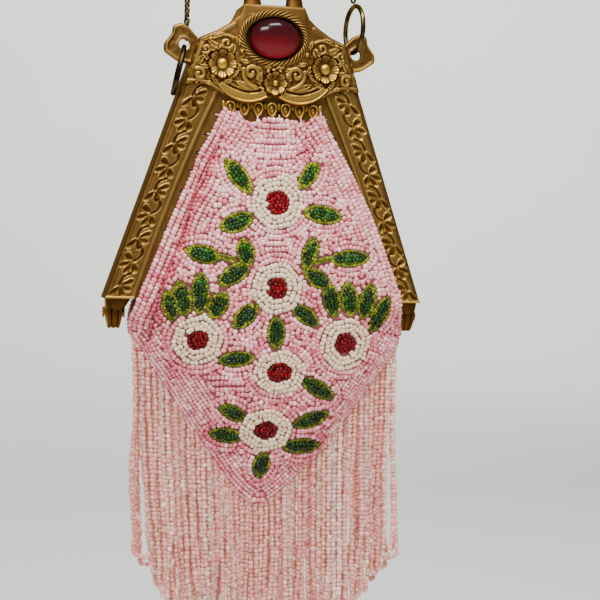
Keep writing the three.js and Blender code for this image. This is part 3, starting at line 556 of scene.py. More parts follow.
# Emission on the brightest pink beads: painted glints
PINK_PAINTED_GLINT = [(0.0, tone(86, 34, 42)), (0.8, tone(112, 66, 68)), (1.0, tone(255, 184, 180))]
BEAD_FINISHES = {
    "pink": bead_finish("pink_beads", PINK, 0.12, coat=0.4, glow=0.2, painted_light=0.22, painted_light_stops=PINK_PAINTED_GLINT),
    "ivory": bead_finish("ivory_beads", [(0.0, tone(230, 196, 164)), (1.0, tone(255, 234, 204))], 0.26),
    "red": bead_finish("red_beads", [(0.0, tone(74, 0, 6)), (1.0, tone(138, 2, 17))], 0.3, 0.2),
    "leaf_rim": bead_finish("olive_beads", [(0.0, tone(48, 60, 2)), (0.5, tone(96, 108, 7)),
                                            (1.0, tone(170, 172, 28))], 0.24, 0.35),
    "leaf_core": bead_finish("emerald_beads", [(0.0, tone(8, 27, 3)), (0.7, tone(22, 60, 8)),
                                               (1.0, tone(44, 108, 26))], 0.22, 0.3),
    # The fringe beads glow a little all over: a painted glow that lightens the shade between strands
    "fringe": bead_finish("pale_beads", [(0.0, tone(214, 142, 128)), (0.5, tone(232, 169, 154)),
                                         (1.0, tone(255, 214, 200))], 0.14, coat=0.25, glow=0.85, painted_light=0.1),
}
BEAD_FINISHES["fine_pink"] = BEAD_FINISHES["plain_pink"] = BEAD_FINISHES["pink"]


# Meshes

def grid_quads(rows, cols, ring_rows=False, ring_cols=False):
    """Faces of a grid of points numbered row by row; a ring joins its last line to its first."""
    row = np.arange(rows if ring_rows else rows - 1)[:, None]
    col = np.arange(cols if ring_cols else cols - 1)[None, :]
    next_row, next_col = (row + 1) % rows, (col + 1) % cols
    corners = [row * cols + col, row * cols + next_col, next_row * cols + next_col, next_row * cols + col]
    return np.stack(corners, -1).reshape(-1, 4)


def unit(vectors):
    """Vectors brought to length one."""
    return vectors / np.linalg.norm(vectors, axis=-1, keepdims=True)


def enclosed(points, quads, tris):
    """Six times the volume that the faces close in, below zero where they face inwards."""
    corners = np.concatenate([quads[:, [0, 1, 2]], quads[:, [0, 2, 3]], tris])
    first, second, third = (points[corners[:, k]] - points.mean(0) for k in range(3))
    return np.einsum("ij,ij->", first, np.cross(second, third))


def outwards(points, quads):
    """The faces of a closed shape, turned to face outwards."""
    return quads[:, ::-1] if enclosed(points, quads, np.zeros((0, 3), int)) < 0 else quads


class Form:
    """Surfaces gathered as arrays of points, faces and marks, then made one mesh."""

    def __init__(self):
        self.points, self.quads, self.tris, self.marks, self.count = [], [], [], [], 0

    def add(self, points, quads, tris=(), mark=0.5, closed=True):
        points = np.asarray(points, float).reshape(-1, 3)
        quads = np.asarray(quads, int).reshape(-1, 4)
        tris = np.asarray(tris, int).reshape(-1, 3)
        if closed and enclosed(points, quads, tris) < 0:
            quads, tris = quads[:, ::-1], tris[:, ::-1]
        self.points.append(points)
        self.quads.append(quads + self.count)
        self.tris.append(tris + self.count)
        self.marks.append(np.broadcast_to(np.ravel(mark) if np.ndim(mark) else mark, len(points)))
        self.count += len(points)

    def piece(self, name, material, stands_for=(), crease=None):
        points = np.concatenate(self.points) * MM
        points[:, 2] += ARM_LEVEL * MM
        quads, tris = np.concatenate(self.quads), np.concatenate(self.tris)
        corners = np.concatenate([quads.ravel(), tris.ravel()])
        starts = np.concatenate([np.arange(len(quads)) * 4, quads.size + np.arange(len(tris)) * 3])
        mesh = bpy.data.meshes.new(name)
        mesh.vertices.add(len(points))
        mesh.vertices.foreach_set("co", points.astype(np.float32).ravel())
        mesh.loops.add(len(corners))
        mesh.loops.foreach_set("vertex_index", corners.astype(np.int32))
        mesh.polygons.add(len(starts))
        mesh.polygons.foreach_set("loop_start", starts.astype(np.int32))
        mesh.update(calc_edges=True)
        mesh.polygons.foreach_set("use_smooth", np.ones(len(starts), bool))
        if crease is not None:
            mesh.set_sharp_from_angle(angle=np.radians(crease))
        marks = mesh.attributes.new("mark", "FLOAT", "POINT")
        marks.data.foreach_set("value", np.concatenate(self.marks).astype(np.float32))
        mesh.materials.append(material)
        made = bpy.data.objects.new(name, mesh)
        bpy.context.scene.collection.objects.link(made)
        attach(made, "root")
        if stands_for:
            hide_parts(*stands_for)
        return made


def end_fans(rows, cols):
    """Triangles from one more point at each end of a loft to its first and last ring."""
    rim = np.arange(cols)
    last = (rows - 1) * cols
    first_fan = np.stack([np.full(cols, rows * cols), np.roll(rim, -1), rim], 1)
    last_fan = np.stack([np.full(cols, rows * cols + 1), last + rim, last + np.roll(rim, -1)], 1)
    return np.concatenate([first_fan, last_fan])


def swept(path, section, normal, loop=False):
    """A closed section, given as (along the normal, sideways), carried along a path; open ends get fans."""
    path, section = np.asarray(path, float), np.asarray(section, float)
    ahead = np.roll(path, -1, 0) - np.roll(path, 1, 0) if loop else np.gradient(path, axis=0)
    ahead = unit(ahead)
    side = unit(np.cross(ahead, normal))
    out = np.cross(side, ahead)
    section = np.broadcast_to(section, (len(path), *section.shape[-2:]))
    points = path[:, None] + section[..., :1] * out[:, None] + section[..., 1:] * side[:, None]
    rows, cols = points.shape[:2]
    quads = grid_quads(rows, cols, loop, True)
    points = points.reshape(-1, 3)
    if loop:
        return points, quads, ()
    return np.concatenate([points, path[:1], path[-1:]]), quads, end_fans(rows, cols)


def ring_loft(form, rings, mark):
    """Rings of points joined one to the next, each end closed by a fan to its middle."""
    rows, cols = rings.shape[:2]
    points = np.concatenate([rings.reshape(-1, 3), rings[[0, -1]].mean(1)])
    mark = np.append(np.ravel(mark), np.ravel(mark)[[0, -1]])
    form.add(points, grid_quads(rows, cols, False, True), end_fans(rows, cols), mark)


def oval(half_out, half_side, sides):
    """An oval section."""
    turn = around(sides)
    return np.stack([half_out * np.cos(turn), half_side * np.sin(turn)], 1)


def tablet(outline, low, high, rounding, drawn_in=0.86):
    """A rounded tab: an outline in depth and height, drawn in a little at both ends along X."""
    middle, cols = outline.mean(0), len(outline)
    stations = ((low, drawn_in), (low + rounding, 1.0), (high - rounding, 1.0), (high, drawn_in))
    rings = [np.column_stack([np.full(cols, x), middle + (outline - middle) * size]) for x, size in stations]
    points = np.concatenate([*rings, [(low, *middle), (high, *middle)]])
    return points, grid_quads(len(rings), cols, False, True), end_fans(len(rings), cols)


def blurred(field, reach):
    """Mean of a field over a square window, its edges carried on."""
    for axis in (0, 1):
        pad = [(0, 0), (0, 0)]
        pad[axis] = (reach + 1, reach)
        total = np.cumsum(np.pad(field, pad, mode="edge"), axis=axis)
        span = 2 * reach + 1
        ahead = np.take(total, np.arange(span, total.shape[axis]), axis=axis)
        behind = np.take(total, np.arange(0, total.shape[axis] - span), axis=axis)
        field = (ahead - behind) / span
    return field


def worn(height, ground):
    """How rubbed a relief is: high where it stands above what is round it, low in its hollows."""
    return clamp(ground + (height - blurred(height, WEAR.window)) * WEAR.proud + height * WEAR.tall)


# Cast relief

def ridge(x, z, line, half_width, height):
    """Height of a round bar along a line of points: half an ellipse over the distance to the line."""
    line = np.asarray(line, float)
    start, step = line[:-1], np.diff(line, axis=0)
    away_x, away_z = x[..., None] - start[:, 0], z[..., None] - start[:, 1]
    share = clamp((away_x * step[:, 0] + away_z * step[:, 1]) / (step ** 2).sum(1))
    distance = np.hypot(away_x - share * step[:, 0], away_z - share * step[:, 1]).min(-1)
    return height * hump(distance / half_width)


def curve_through(points):
    """A smooth line through a few points, by cutting the corners of the polyline three times."""
    line = np.asarray(points, float)
    for _ in range(3):
        first, second = line[:-1], line[1:]
        cut = np.stack([0.75 * first + 0.25 * second, 0.25 * first + 0.75 * second], 1).reshape(-1, 2)
        line = np.concatenate([line[:1], cut, line[-1:]])
    return line


def volute(eye_x, eye_z, radius, turns, start, hand):
    """A spiral whose radius shrinks evenly from its outer end to a small eye."""
    share = np.linspace(0, 1, VOLUTE.steps)
    turn = np.radians(start) + hand * share * turns * 2 * np.pi
    reach = radius * (1 - VOLUTE.shrink * share)
    return np.stack([eye_x + reach * np.cos(turn), eye_z + reach * np.sin(turn)], 1)


def cast_leaf(x, z, middle_x, middle_z, half_length, half_width, angle):
    """A leaf: full along its middle, pointed at both ends, with a midrib groove and slanting side ribs."""
    cos, sin = np.cos(np.radians(angle)), np.sin(np.radians(angle))
    along = ((x - middle_x) * cos + (z - middle_z) * sin) / half_length
    across = ((z - middle_z) * cos - (x - middle_x) * sin) / half_width
    width = np.clip(1 - along ** 2, 1e-6, 1)
    body = CAST_LEAF.height * hump(across / width) * (np.abs(along) < 1)
    slant = (along * half_length - np.abs(across) * half_width) * CAST_LEAF.rib_rate
    groove = 1 - CAST_LEAF.groove * np.exp(-(across / CAST_LEAF.groove_half) ** 2)
    return body * (1 + CAST_LEAF.ribs * np.cos(slant)) * groove


def cast_flower(x, z, flower):
    """A cupped flower, its height and where it lies: notched petals up to a fluted rim, and a domed boss."""
    away = np.hypot(x - flower.x, z - flower.z)
    turn = np.arctan2(z - flower.z, x - flower.x)
    notch = np.abs(np.cos(turn * flower.petals / 2)) ** 0.6
    edge = flower.radius * (1 - FLOWER.notch + FLOWER.notch * notch)
    share = clamp(away / flower.radius)
    flutes = FLOWER.flute * np.cos(turn * flower.petals * FLOWER.flutes) * share ** 2
    cup = FLOWER.floor + FLOWER.rise * share ** 1.5 + flutes - FLOWER.cleft * (1 - notch)
    bloom = clamp((edge - away) / FLOWER.brink) * cup
    boss = FLOWER.boss * hump(away / flower.boss)
    collar = FLOWER.collar * hump((away - flower.boss - FLOWER.collar_gap) / FLOWER.collar_half)
    return np.maximum.reduce([bloom, boss, collar]), away < edge


def petal_shade(x, z):
    """How far a place lies up in a cast flower's cup: it sets painted shade on the upper petals, which face
    down away from the light.
    """
    shade = np.zeros_like(x)
    for side, flower in ((np.abs(x), SIDE_FLOWER), (x, MID_FLOWER)):
        away = np.hypot(side - flower.x, z - flower.z)
        rise = clamp((z - flower.z) / flower.radius + FLOWER.shaded_from)
        shade += rise * (away < flower.radius) * (away > flower.boss)
    return shade


def swag_band(x, z):
    """The milled band of a swag: fine ribs across it between its two edge lines."""
    low, high = (curve_through(RIBBONS[number][0])[::-1] for number in (1, 2))
    low_z, high_z = (np.interp(x, line[:, 0], line[:, 1]) for line in (low, high))
    inside = (z > low_z) & (z < high_z) & (x > SWAG.inner) & (x < SWAG.outer)
    middle = 1 - np.abs(2 * (z - low_z) / np.maximum(high_z - low_z, SWAG.least) - 1)
    ribs = SWAG.rib * np.cos(x / SWAG.milling * 2 * np.pi)
    return inside * (SWAG.floor + SWAG.belly * np.sqrt(clamp(middle)) + ribs)


def shell(x, z):
    """A fan of ribs that open upwards from a point."""
    away = np.hypot(x - SHELL.x, z - SHELL.z)
    turn = np.arctan2(x - SHELL.x, z - SHELL.z)
    inside = clamp((SHELL.radius - away) / SHELL.brink) * (np.abs(turn) < SHELL.open)
    ribs = SHELL.rib * np.cos(turn * SHELL.rib_rate)
    return inside * (SHELL.floor + ribs + SHELL.rise * away / SHELL.radius)


def in_seat(x, z):
    """Which places lie in the stone's seat, inside the rope."""
    return np.hypot(x / ROPE.half_width, (z - STONE.z) / ROPE.half_height) < SEAT.share


def crown_relief(x, z):
    """Height of the crown's ornament: its flowers, and round them the highest of scrolls and leaves."""
    side = np.abs(x)
    layers = [ridge(side, z, volute(*row[:-1]), row[-1], VOLUTE.height) for row in VOLUTES]
    layers += [ridge(side, z, curve_through(points), wide, high) for points, wide, high in RIBBONS]
    layers += [cast_leaf(side, z, *row) for row in CAST_LEAVES]
    layers += [BERRY_HEIGHT * hump(np.hypot(side - at_x, z - at_z) / size) for at_x, at_z, size in BERRIES]
    layers += [swag_band(side, z), shell(side, z)]
    layers.append(ridge(side, z, CROWN_TOP_LINE[3:] - BORDER.inset, BORDER.half_width, BORDER.height))
    stipple = np.sin(x * 5.1 + 2 * np.sin(z * 2.3)) * np.sin(z * 4.7 + 2 * np.sin(x * 2.1))
    stipple = STIPPLE.height * stipple * clamp((STIPPLE.smooth_from - z) / STIPPLE.fade)
    raised = np.maximum(np.maximum.reduce(layers), stipple + STIPPLE.floor)
    for height, covered in (cast_flower(side, z, SIDE_FLOWER), cast_flower(x, z, MID_FLOWER)):
        raised = np.where(covered, height, raised)
    return np.where(in_seat(x, z), SEAT.height, raised)


def spoon(x, z, angle, grow=0.0):
    """A hollow leaflet that points away from its heart: wider towards its tip, deepest in the middle."""
    cos, sin = np.cos(np.radians(angle)), np.sin(np.radians(angle))
    along = (x * cos + z * sin - LEAFLET.reach) / (LEAFLET.half_length + grow)
    across = (z * cos - x * sin) / ((LEAFLET.half_width + grow) * (LEAFLET.heel + LEAFLET.flare * along))
    return np.sqrt(clamp(1 - along ** 2 - across ** 2))


def vine_relief(across, along, width):
    """Sprigs cut into an arm's face: hollow leaflets with a thin raised rim, and their curling stems."""
    heights = np.linspace(SPRIGS.first, SPRIGS.last, SPRIGS.count)
    raised = FACE_GRAIN * np.sin(across * 5.3 + 2 * np.sin(along * 2.1)) * np.sin(along * 4.9 + across)
    pitch = heights[1] - heights[0]
    for number, middle in enumerate(heights):
        heart, angles, stem = SPRIG_KINDS[number % 2]
        near = np.abs(along - middle) < pitch
        x, z = across[near] - heart, along[near] - middle
        cut, rim = np.zeros_like(x), np.zeros_like(x)
        for angle in angles:
            cut = np.maximum(cut, LEAFLET.depth * spoon(x, z, angle))
            rim = np.maximum(rim, spoon(x, z, angle, LEAFLET.lip) > 0.1)
        cut = np.maximum(cut, ridge(x, z, curve_through(stem), STEM.half_width, STEM.depth))
        raised[near] = raised[near] + LEAFLET.rim * rim - cut
    inner = width / 2 - across
    bevel = FACE_BEVEL.height * clamp(1 - np.abs(inner - FACE_BEVEL.middle) / FACE_BEVEL.half_width) ** 0.7
    return raised * clamp((inner - FACE_BEVEL.ground_from) / FACE_BEVEL.fade) + bevel


# Frame

ARM_SLOPE = np.hypot(1, (ARM_END_X - SHOULDER_X) / SHOULDER_Z)


def outer_edge(z):
    """Distance of an arm's outer edge from the middle."""
    return ARM_END_X + (SHOULDER_X - ARM_END_X) * z / SHOULDER_Z


def inner_edge(z):
    """Distance of an arm face's inner edge from the middle: the arm widens towards the crown."""
    return outer_edge(z) - ARM_WIDTH - ARM_FLARE * clamp(z / CROWN_BOTTOM) ** 3


def arm(form, hand, side, ornate):
    """An arm as a section carried up from its end: wall, rounded edge, face, step, sewing lip and back."""
    grid = GRID[ornate]
    z = np.linspace(0, ARM_TOP, grid.arm)[:, None]
    width = outer_edge(z) - inner_edge(z)
    ones = np.ones_like(z)
    corner = np.linspace(0, np.pi / 2, 9)[1:-1]
    wall_depth = np.linspace(CLOSING, FACE - EDGE_ROUND.back, len(ARM_MARK.wall))
    edge_in = ones * EDGE_ROUND.inset * (1 - np.cos(corner))
    edge_depth = ones * (FACE - EDGE_ROUND.back + (EDGE_ROUND.back - EDGE_ROUND.drop) * np.sin(corner))
    face_in = EDGE_ROUND.inset + (width - EDGE_ROUND.inset) * np.linspace(0, 1, grid.face)
    middle = (width + VINE_SHIFT) / 2
    relief = 0 * face_in
    round_off = EDGE_ROUND.drop * clamp(1 - (face_in - EDGE_ROUND.inset) / EDGE_ROUND.reach) ** 2
    rubbed = ARM_MARK.plain + 0 * face_in
    if ornate:
        relief = vine_relief(face_in - middle, z + 0 * face_in, width * 2 - middle * 2)
        # Darker where the face rounds off at the outer edge: painted shade.
        # The right arm is made a little brighter: painted light.
        rubbed = worn(relief, ARM_MARK.ground + ARM_MARK.by_hand * hand) - round_off * ARM_MARK.edge
    lip_in = width + LIP_WIDTH * np.linspace(0, 1, 9)
    holes = np.arange(STITCH.first, CROWN_BOTTOM * ARM_SLOPE, STITCH.pitch)
    miss = np.abs(z * ARM_SLOPE - holes).min(1, keepdims=True)
    pits = (np.hypot(lip_in - width - LIP_WIDTH * STITCH.place, miss) < STITCH.hole) & ornate
    lip_depth = LIP_FRONT - pits * STITCH.pit
    back_in = np.concatenate([ones * (width + LIP_WIDTH), width - 1, width - 1, ones * WALL, ones * WALL], 1)
    back_depth = ones * np.array([LIP_BACK, LIP_BACK, FACE - WALL, FACE - WALL, CLOSING])
    inwards = np.concatenate([ones * 0 * wall_depth, edge_in, face_in, lip_in, back_in], 1)
    face_depth = FACE + relief - round_off
    depth = np.concatenate([ones * wall_depth, edge_depth, face_depth, lip_depth, back_depth], 1)
    # The outer wall and its rounded corner are kept dark: painted shade.
    corner_mark = ones * np.linspace(*ARM_MARK.corner, len(corner))
    mark = np.concatenate([ones * np.array(ARM_MARK.wall), corner_mark, rubbed,
                           np.where(pits, 0.0, ARM_MARK.lip), ARM_MARK.back * np.ones_like(back_in)], 1)
    x = hand * (outer_edge(z) - inwards)
    ring_loft(form, np.stack([x, side * depth, z + 0 * x], -1), mark)
    ends = hand * np.linspace(outer_edge(0.0) - MOULDING.short, inner_edge(0.0), MOULDING.steps)
    moulding = np.column_stack([ends, ends * 0 + side * FACE, ends * 0 + MOULDING.half_height])
    bead = oval(MOULDING.half_depth, MOULDING.half_height, 8)
    form.add(*swept(moulding, bead, THROUGH), MOULDING.mark if ornate else ARM_MARK.plain)


def crown(form, side, ornate):
    """The crown plate between its top and low outlines, its relief, and the wall round its top."""
    grid = GRID[ornate]
    limit = CROWN_TOP_LINE[-1, 0]
    x = np.linspace(-limit, limit, grid.crown_x)[None, :]
    share = np.linspace(0, 1, grid.crown_z)[:, None]
    low = np.interp(np.abs(x), *CROWN_LOW_LINE.T)
    high = np.interp(np.abs(x), *CROWN_TOP_LINE.T)
    z = low + (high - low) * share
    x = x + 0 * z
    rounded = np.sin(np.clip(share, *CROWN.swell_ends) * np.pi) ** 0.5
    swell = CROWN.swell * clamp(1 - (x / limit) ** 2) * rounded
    edge = np.minimum(share, 1 - share) * (high - low)
    rounding = CROWN.edge_drop * clamp(1 - edge / CROWN.edge_reach) ** 2
    seat = in_seat(x, z) & ornate
    relief, mark = CROWN.plain_rise + 0 * x, CROWN_MARK.plain + 0 * x
    if ornate:
        relief = crown_relief(x, z)
        # The upper petals are darkened: painted shade.
        mark = worn(relief, CROWN_MARK.ground) - CROWN_MARK.petals * petal_shade(x, z)
        mark = mark + CROWN_MARK.swag * (swag_band(np.abs(x), z) > 0)
        # Darker towards the right: painted shade.
        mark = mark - CROWN_MARK.right * clamp(x / CROWN_MARK.right_reach)
    depth = FACE + CROWN.proud + np.where(seat, -CROWN.seat_drop, swell) + relief - rounding
    front = np.stack([x, side * depth, z], -1)
    behind = front[[-1, 0]]
    behind[..., 1] = side * (FACE - WALL)
    mark = np.where(seat, CROWN_MARK.seat, clamp(mark))
    mark = np.concatenate([mark, np.full((2, mark.shape[1]), CROWN_MARK.wall)])
    ring_loft(form, np.concatenate([front, behind]).transpose(1, 0, 2), mark.T)
    outline = np.concatenate([CROWN_TOP_LINE[::-1] * (-1, 1), CROWN_TOP_LINE[1:]])
    path = np.column_stack([outline[:, 0] * CROWN.wall_in, np.full(len(outline), side * (FACE + CLOSING) / 2),
                            outline[:, 1] - CROWN.wall_half])
    corners = np.array([(-1, -1), (1, -1), (1, 1), (-1, 1)])
    form.add(*swept(path, corners * ((FACE - CLOSING) / 2, CROWN.wall_half), THROUGH), CROWN_MARK.rim)
    lip(form, side, ornate)


def lip(form, side, ornate):
    """The sewing lip under the crown: a thin strip with a row of stitch holes."""
    grid = GRID[ornate]
    z = np.linspace(*TOP_LIP, grid.lip_z)[:, None]
    x = np.linspace(-1, 1, grid.lip_x)[None, :] * (inner_edge(z) + 1)
    depth, mark = np.full_like(x, LIP_FRONT - TOP_STITCH.set_back), np.full_like(x, TOP_STITCH.mark)
    if ornate:
        holes = np.array(TOP_HOLES)
        pits = np.hypot(x[..., None] - holes[:, 0], z[..., None] - holes[:, 1]).min(-1) < TOP_STITCH.hole
        depth, mark = depth - pits * TOP_STITCH.pit, np.where(pits, 0.0, mark)
    front = np.stack([x, side * depth, z + 0 * x], -1)
    back = front[[-1, 0]]
    back[..., 1] = side * (LIP_BACK + TOP_STITCH.back)
    ring_loft(form, np.concatenate([front, back]).transpose(1, 0, 2), np.concatenate([mark, mark[[-1, 0]]]).T)


def drops(form):
    """A row of hanging drops under the swags: a pear-shaped wire round a flat dome, with buds between."""
    turn = around(DROPS.steps)
    pear_x = DROPS.half_width * np.sin(turn) * (1 - DROPS.pear * np.cos(turn))
    pear_z = DROPS.z - DROPS.half_height * np.cos(turn)
    for number in range(DROPS.count):
        x = (number - (DROPS.count - 1) / 2) * DROPS.pitch
        path = np.column_stack([x + pear_x, 0 * turn - DROPS.wire_depth, pear_z])
        form.add(*swept(path, oval(*DROPS.wire, 8), THROUGH, True), DROPS.wire_mark)
        for pitches, back, rise, half_sizes, mark in DROP_PARTS:
            middle = (x + pitches * DROPS.pitch, back - DROPS.depth, DROPS.z + rise)
            form.add(*dome(middle, half_sizes), mark)


def dome(middle, half_sizes, rows=9, cols=12):
    """An ellipsoid round a point, as rings between two poles."""
    fall = np.linspace(0, np.pi, rows + 2)[1:-1, None]
    turn = around(cols)
    ball = np.stack([np.sin(fall) * np.cos(turn), np.sin(fall) * np.sin(turn), np.cos(fall) + 0 * turn], -1)
    points = np.concatenate([ball.reshape(-1, 3), [(0, 0, 1), (0, 0, -1)]]) * half_sizes + middle
    return points, grid_quads(rows, cols, False, True), end_fans(rows, cols)


def ear(form, hand):
    """An ear: rings of points from its hole to its outline, raised at both edges, front and back joined."""
    corners = np.concatenate([EAR_OUTLINE, EAR_OUTLINE[:1]])
    run = np.concatenate([[0], np.cumsum(np.linalg.norm(np.diff(corners, axis=0), axis=1))])
    walk = np.arange(EAR.steps) / EAR.steps * run[-1]
    outline = np.stack([np.interp(walk, run, corners[:, k]) for k in (0, 1)], 1)
    outline = sum(np.roll(outline, shift, 0) for shift in range(-2, 3)) / 5
    hub = np.array([EAR_HOLE.x, EAR_HOLE.z])
    inner = hub + unit(outline - hub) * EAR_HOLE.radius
    share = np.concatenate([np.linspace(0, 1, EAR.front_rings), np.linspace(1, 0, EAR.back_rings)])[:, None]
    flat = inner + (outline - inner) * share[..., None]
    front = np.arange(len(share))[:, None] < EAR.front_rings
    rise = EAR_RIM[0] * bell(share, *EAR_RIM[1:], 4) + EAR_COLLAR[0] * bell(share, *EAR_COLLAR[1:])
    ribs = EAR_RIBS[0] * np.cos(around(EAR.steps) * EAR_RIB_COUNT) * bell(share, *EAR_RIBS[1:])
    depth = np.where(front, EAR.front + rise + ribs, EAR.back)
    mark = np.where(front, EAR.mark + EAR.rise_mark * rise + ribs, EAR.back_mark)
    points = np.stack([hand * flat[..., 0], -depth, flat[..., 1]], -1)
    form.add(points, grid_quads(len(share), EAR.steps, True, True), (), mark)


def bow(form):
    """The bow over the crown: an oval bar up one post, round and down the other, spread at its feet."""
    turn = np.linspace(0, np.pi, 25)
    post = np.linspace(BOW.foot, BOW.spring, BOW.posts + 1)[:-1]
    x = np.concatenate([0 * post + BOW.mid, BOW.mid * np.cos(turn), 0 * post - BOW.mid])
    z = np.concatenate([post, BOW.spring + BOW.mid * np.sin(turn), post[::-1]])
    foot = clamp((BOW.foot_from - z) / (BOW.foot_from - BOW.foot)) ** 1.3
    path = np.column_stack([x, -BOW.depth - BOW.foot_lean * foot, z])
    sizes = np.stack([1 + 0 * foot, 1 + BOW.foot_spread * foot], 1)
    section = oval(BOW.half_depth, BOW.half_width, BOW.sides)[None] * sizes[:, None]
    mark = np.repeat(BOW.mark + BOW.foot_mark * foot, BOW.sides)
    form.add(*swept(path, section, THROUGH), np.append(mark, [BOW.mark, BOW.mark]))


def tab_outline(side):
    """A hinge leaf from the side, in depth and height: square at its top, long and round under the pin."""
    turn = np.linspace(0, np.pi, 17)
    low = np.stack([HINGE.radius * np.cos(turn), HINGE.z - HINGE.reach * HINGE.radius * np.sin(turn)], 1)
    return np.concatenate([[(HINGE.radius, HINGE.top)], low, [(-HINGE.radius, HINGE.top)]]) * (-side, 1)


def hinge_leaves(form, side):
    """The leaves at both arm ends: two cheeks a side in front, one tongue behind, narrower lower down.

    Each leaf is dark with rubbed rims; in front a shoulder runs from the arm's end down to its cheeks.
    """
    half, play = HINGE.tongue / 2, HINGE.play
    spans = [(-half, half)] if side > 0 else [(-half - HINGE.cheek - play, -half - play),
                                              (half + play, half + HINGE.cheek + play)]
    outline = tab_outline(side)
    rims = np.append(np.repeat(HINGE_RIMS, len(outline)), (0.3, 0.3))
    for hand in (-1, 1):
        for low, high in spans:
            points, quads, fans = tablet(outline, low, high, HINGE.rounding)
            down = clamp((HINGE.z - points[:, 2]) / HINGE.radius)
            points[:, 0] = hand * HINGE.x + points[:, 0] * (1 - HINGE.taper * down)
            form.add(points, quads, fans, rims)
        if side < 0:
            hinge_shoulder(form, hand)


def hinge_shoulder(form, hand):
    """The end of an arm drawn in to its hinge: an oval section that narrows and moves over as it falls."""
    share = np.linspace(0, 1, HINGE_SHOULDER.steps)
    ends = np.array([inner_edge(0.0), outer_edge(0.0)])
    middle, half = ends.mean(), (ends[1] - ends[0]) / 2 - HINGE_SHOULDER.set_in
    path = np.column_stack([hand * (middle + (HINGE.x - middle) * share), 0 * share - FACE / 2,
                            HINGE_SHOULDER.top - HINGE_SHOULDER.fall * share])
    widths = half + (HINGE_SHOULDER.half_width - half) * share ** 1.2
    sizes = np.stack([0 * share + FACE / 2 - HINGE_SHOULDER.set_back, widths], 1)
    section = oval(1.0, 1.0, HINGE_SHOULDER.sides)[None] * sizes[:, None]
    form.add(*swept(path, section, THROUGH), HINGE_SHOULDER.mark)


def front_frame():
    """The front casting with all its ornament."""
    form = Form()
    for hand in (-1, 1):
        arm(form, hand, -1, True)
        ear(form, hand)
    crown(form, -1, True)
    drops(form)
    bow(form)
    hinge_leaves(form, -1)
    return form.piece("front_casting", BRASS, ["front_frame"], crease=50)


def back_frame():
    """The plain back casting."""
    form = Form()
    for hand in (-1, 1):
        arm(form, hand, 1, False)
    crown(form, 1, False)
    hinge_leaves(form, 1)
    return form.piece("back_casting", BRASS, ["back_frame"], crease=40)


def rope_bezel():
    """The twisted rope round the stone: a lobed section that turns as it goes round an oval."""
    turn, section_turn = around(ROPE.steps), around(ROPE.sides)
    path = np.column_stack([ROPE.half_width * np.cos(turn), 0 * turn - ROPE.depth,
                            STONE.z + ROPE.half_height * np.sin(turn)])
    lobes = np.abs(np.cos(ROPE.strands / 2 * section_turn)) + 0 * turn[:, None]
    reach = ROPE.radius * (ROPE.core + (1 - ROPE.core) * lobes ** 0.7)
    angle = section_turn + turn[:, None] * ROPE.turns
    section = np.stack([reach * np.cos(angle), reach * np.sin(angle)], -1)
    form = Form()
    form.add(*swept(path, section, THROUGH, True), ROPE.mark * lobes ** 2)
    return form.piece("rope_bezel", BRASS)


def stone():
    """The cabochon: rings of an oval from a flat base, over its girdle and up a dome."""
    cols = 72
    turn = around(cols)
    dome_turn = np.linspace(0, np.pi / 2, STONE.dome_rings)[:-1]
    share = np.concatenate([np.linspace(0.15, 1, STONE.base_rings), np.cos(dome_turn)])
    rise = np.sqrt(clamp(1 - share ** 2.2)) ** 1.05
    depth = STONE.base + STONE.girdle + STONE.dome * rise
    depth[:STONE.base_rings] = STONE.base
    rings = np.stack([STONE.half_width * share[:, None] * np.cos(turn), -depth[:, None] + 0 * turn,
                      STONE.z + STONE.half_height * share[:, None] * np.sin(turn)], -1)
    poles = [(0, -STONE.base, STONE.z), (0, -depth.max(), STONE.z)]
    form = Form()
    form.add(np.concatenate([rings.reshape(-1, 3), poles]), grid_quads(len(share), cols, False, True),
             end_fans(len(share), cols))
    return form.piece("stone", GARNET, ["cabochon"], crease=60)


def loose_ring(name, node, place):
    """A round wire ring, upright across the bag, turned about its height and leaned to one side."""
    turn = around(RING.steps)
    flat = np.column_stack([0 * turn, RING.mean * np.cos(turn), RING.mean * np.sin(turn)])
    spin = np.array(Matrix.Rotation(np.radians(place.turn), 3, "Z") @
                    Matrix.Rotation(np.radians(place.lean), 3, "Y"))
    path = flat @ spin.T + (place.x, -RING.depth, place.z)
    scuff = place.wear + 0.2 * np.sin(turn * 5) + 0.1 * np.sin(turn * 17)
    form = Form()
    section = oval(RING.wire, RING.wire, RING.sides)
    form.add(*swept(path, section, spin[:, 0], True), np.repeat(scuff, RING.sides))
    return form.piece(name, DARK_BRASS, [node])


def chain_point(along):
    """The chain's line: up the right strand, round a half circle and down the left strand."""
    right = CHAIN.spring - CHAIN.right_end
    left = CHAIN.spring - CHAIN.left_end
    bend = np.pi * CHAIN.x
    turn = np.clip((along - right) / CHAIN.x, 0, np.pi)
    down = along - right - bend
    rising, falling = along < right, down > 0
    x = CHAIN.x * np.cos(turn)
    y = np.where(rising, -CHAIN.right_depth * (1 - along / right), 0)
    y = np.where(falling, -CHAIN.left_depth * down / left, y)
    z = np.where(rising, CHAIN.right_end + along, CHAIN.spring + CHAIN.x * np.sin(turn))
    z = np.where(falling, CHAIN.spring - down, z)
    return np.stack([x, y, z], -1)


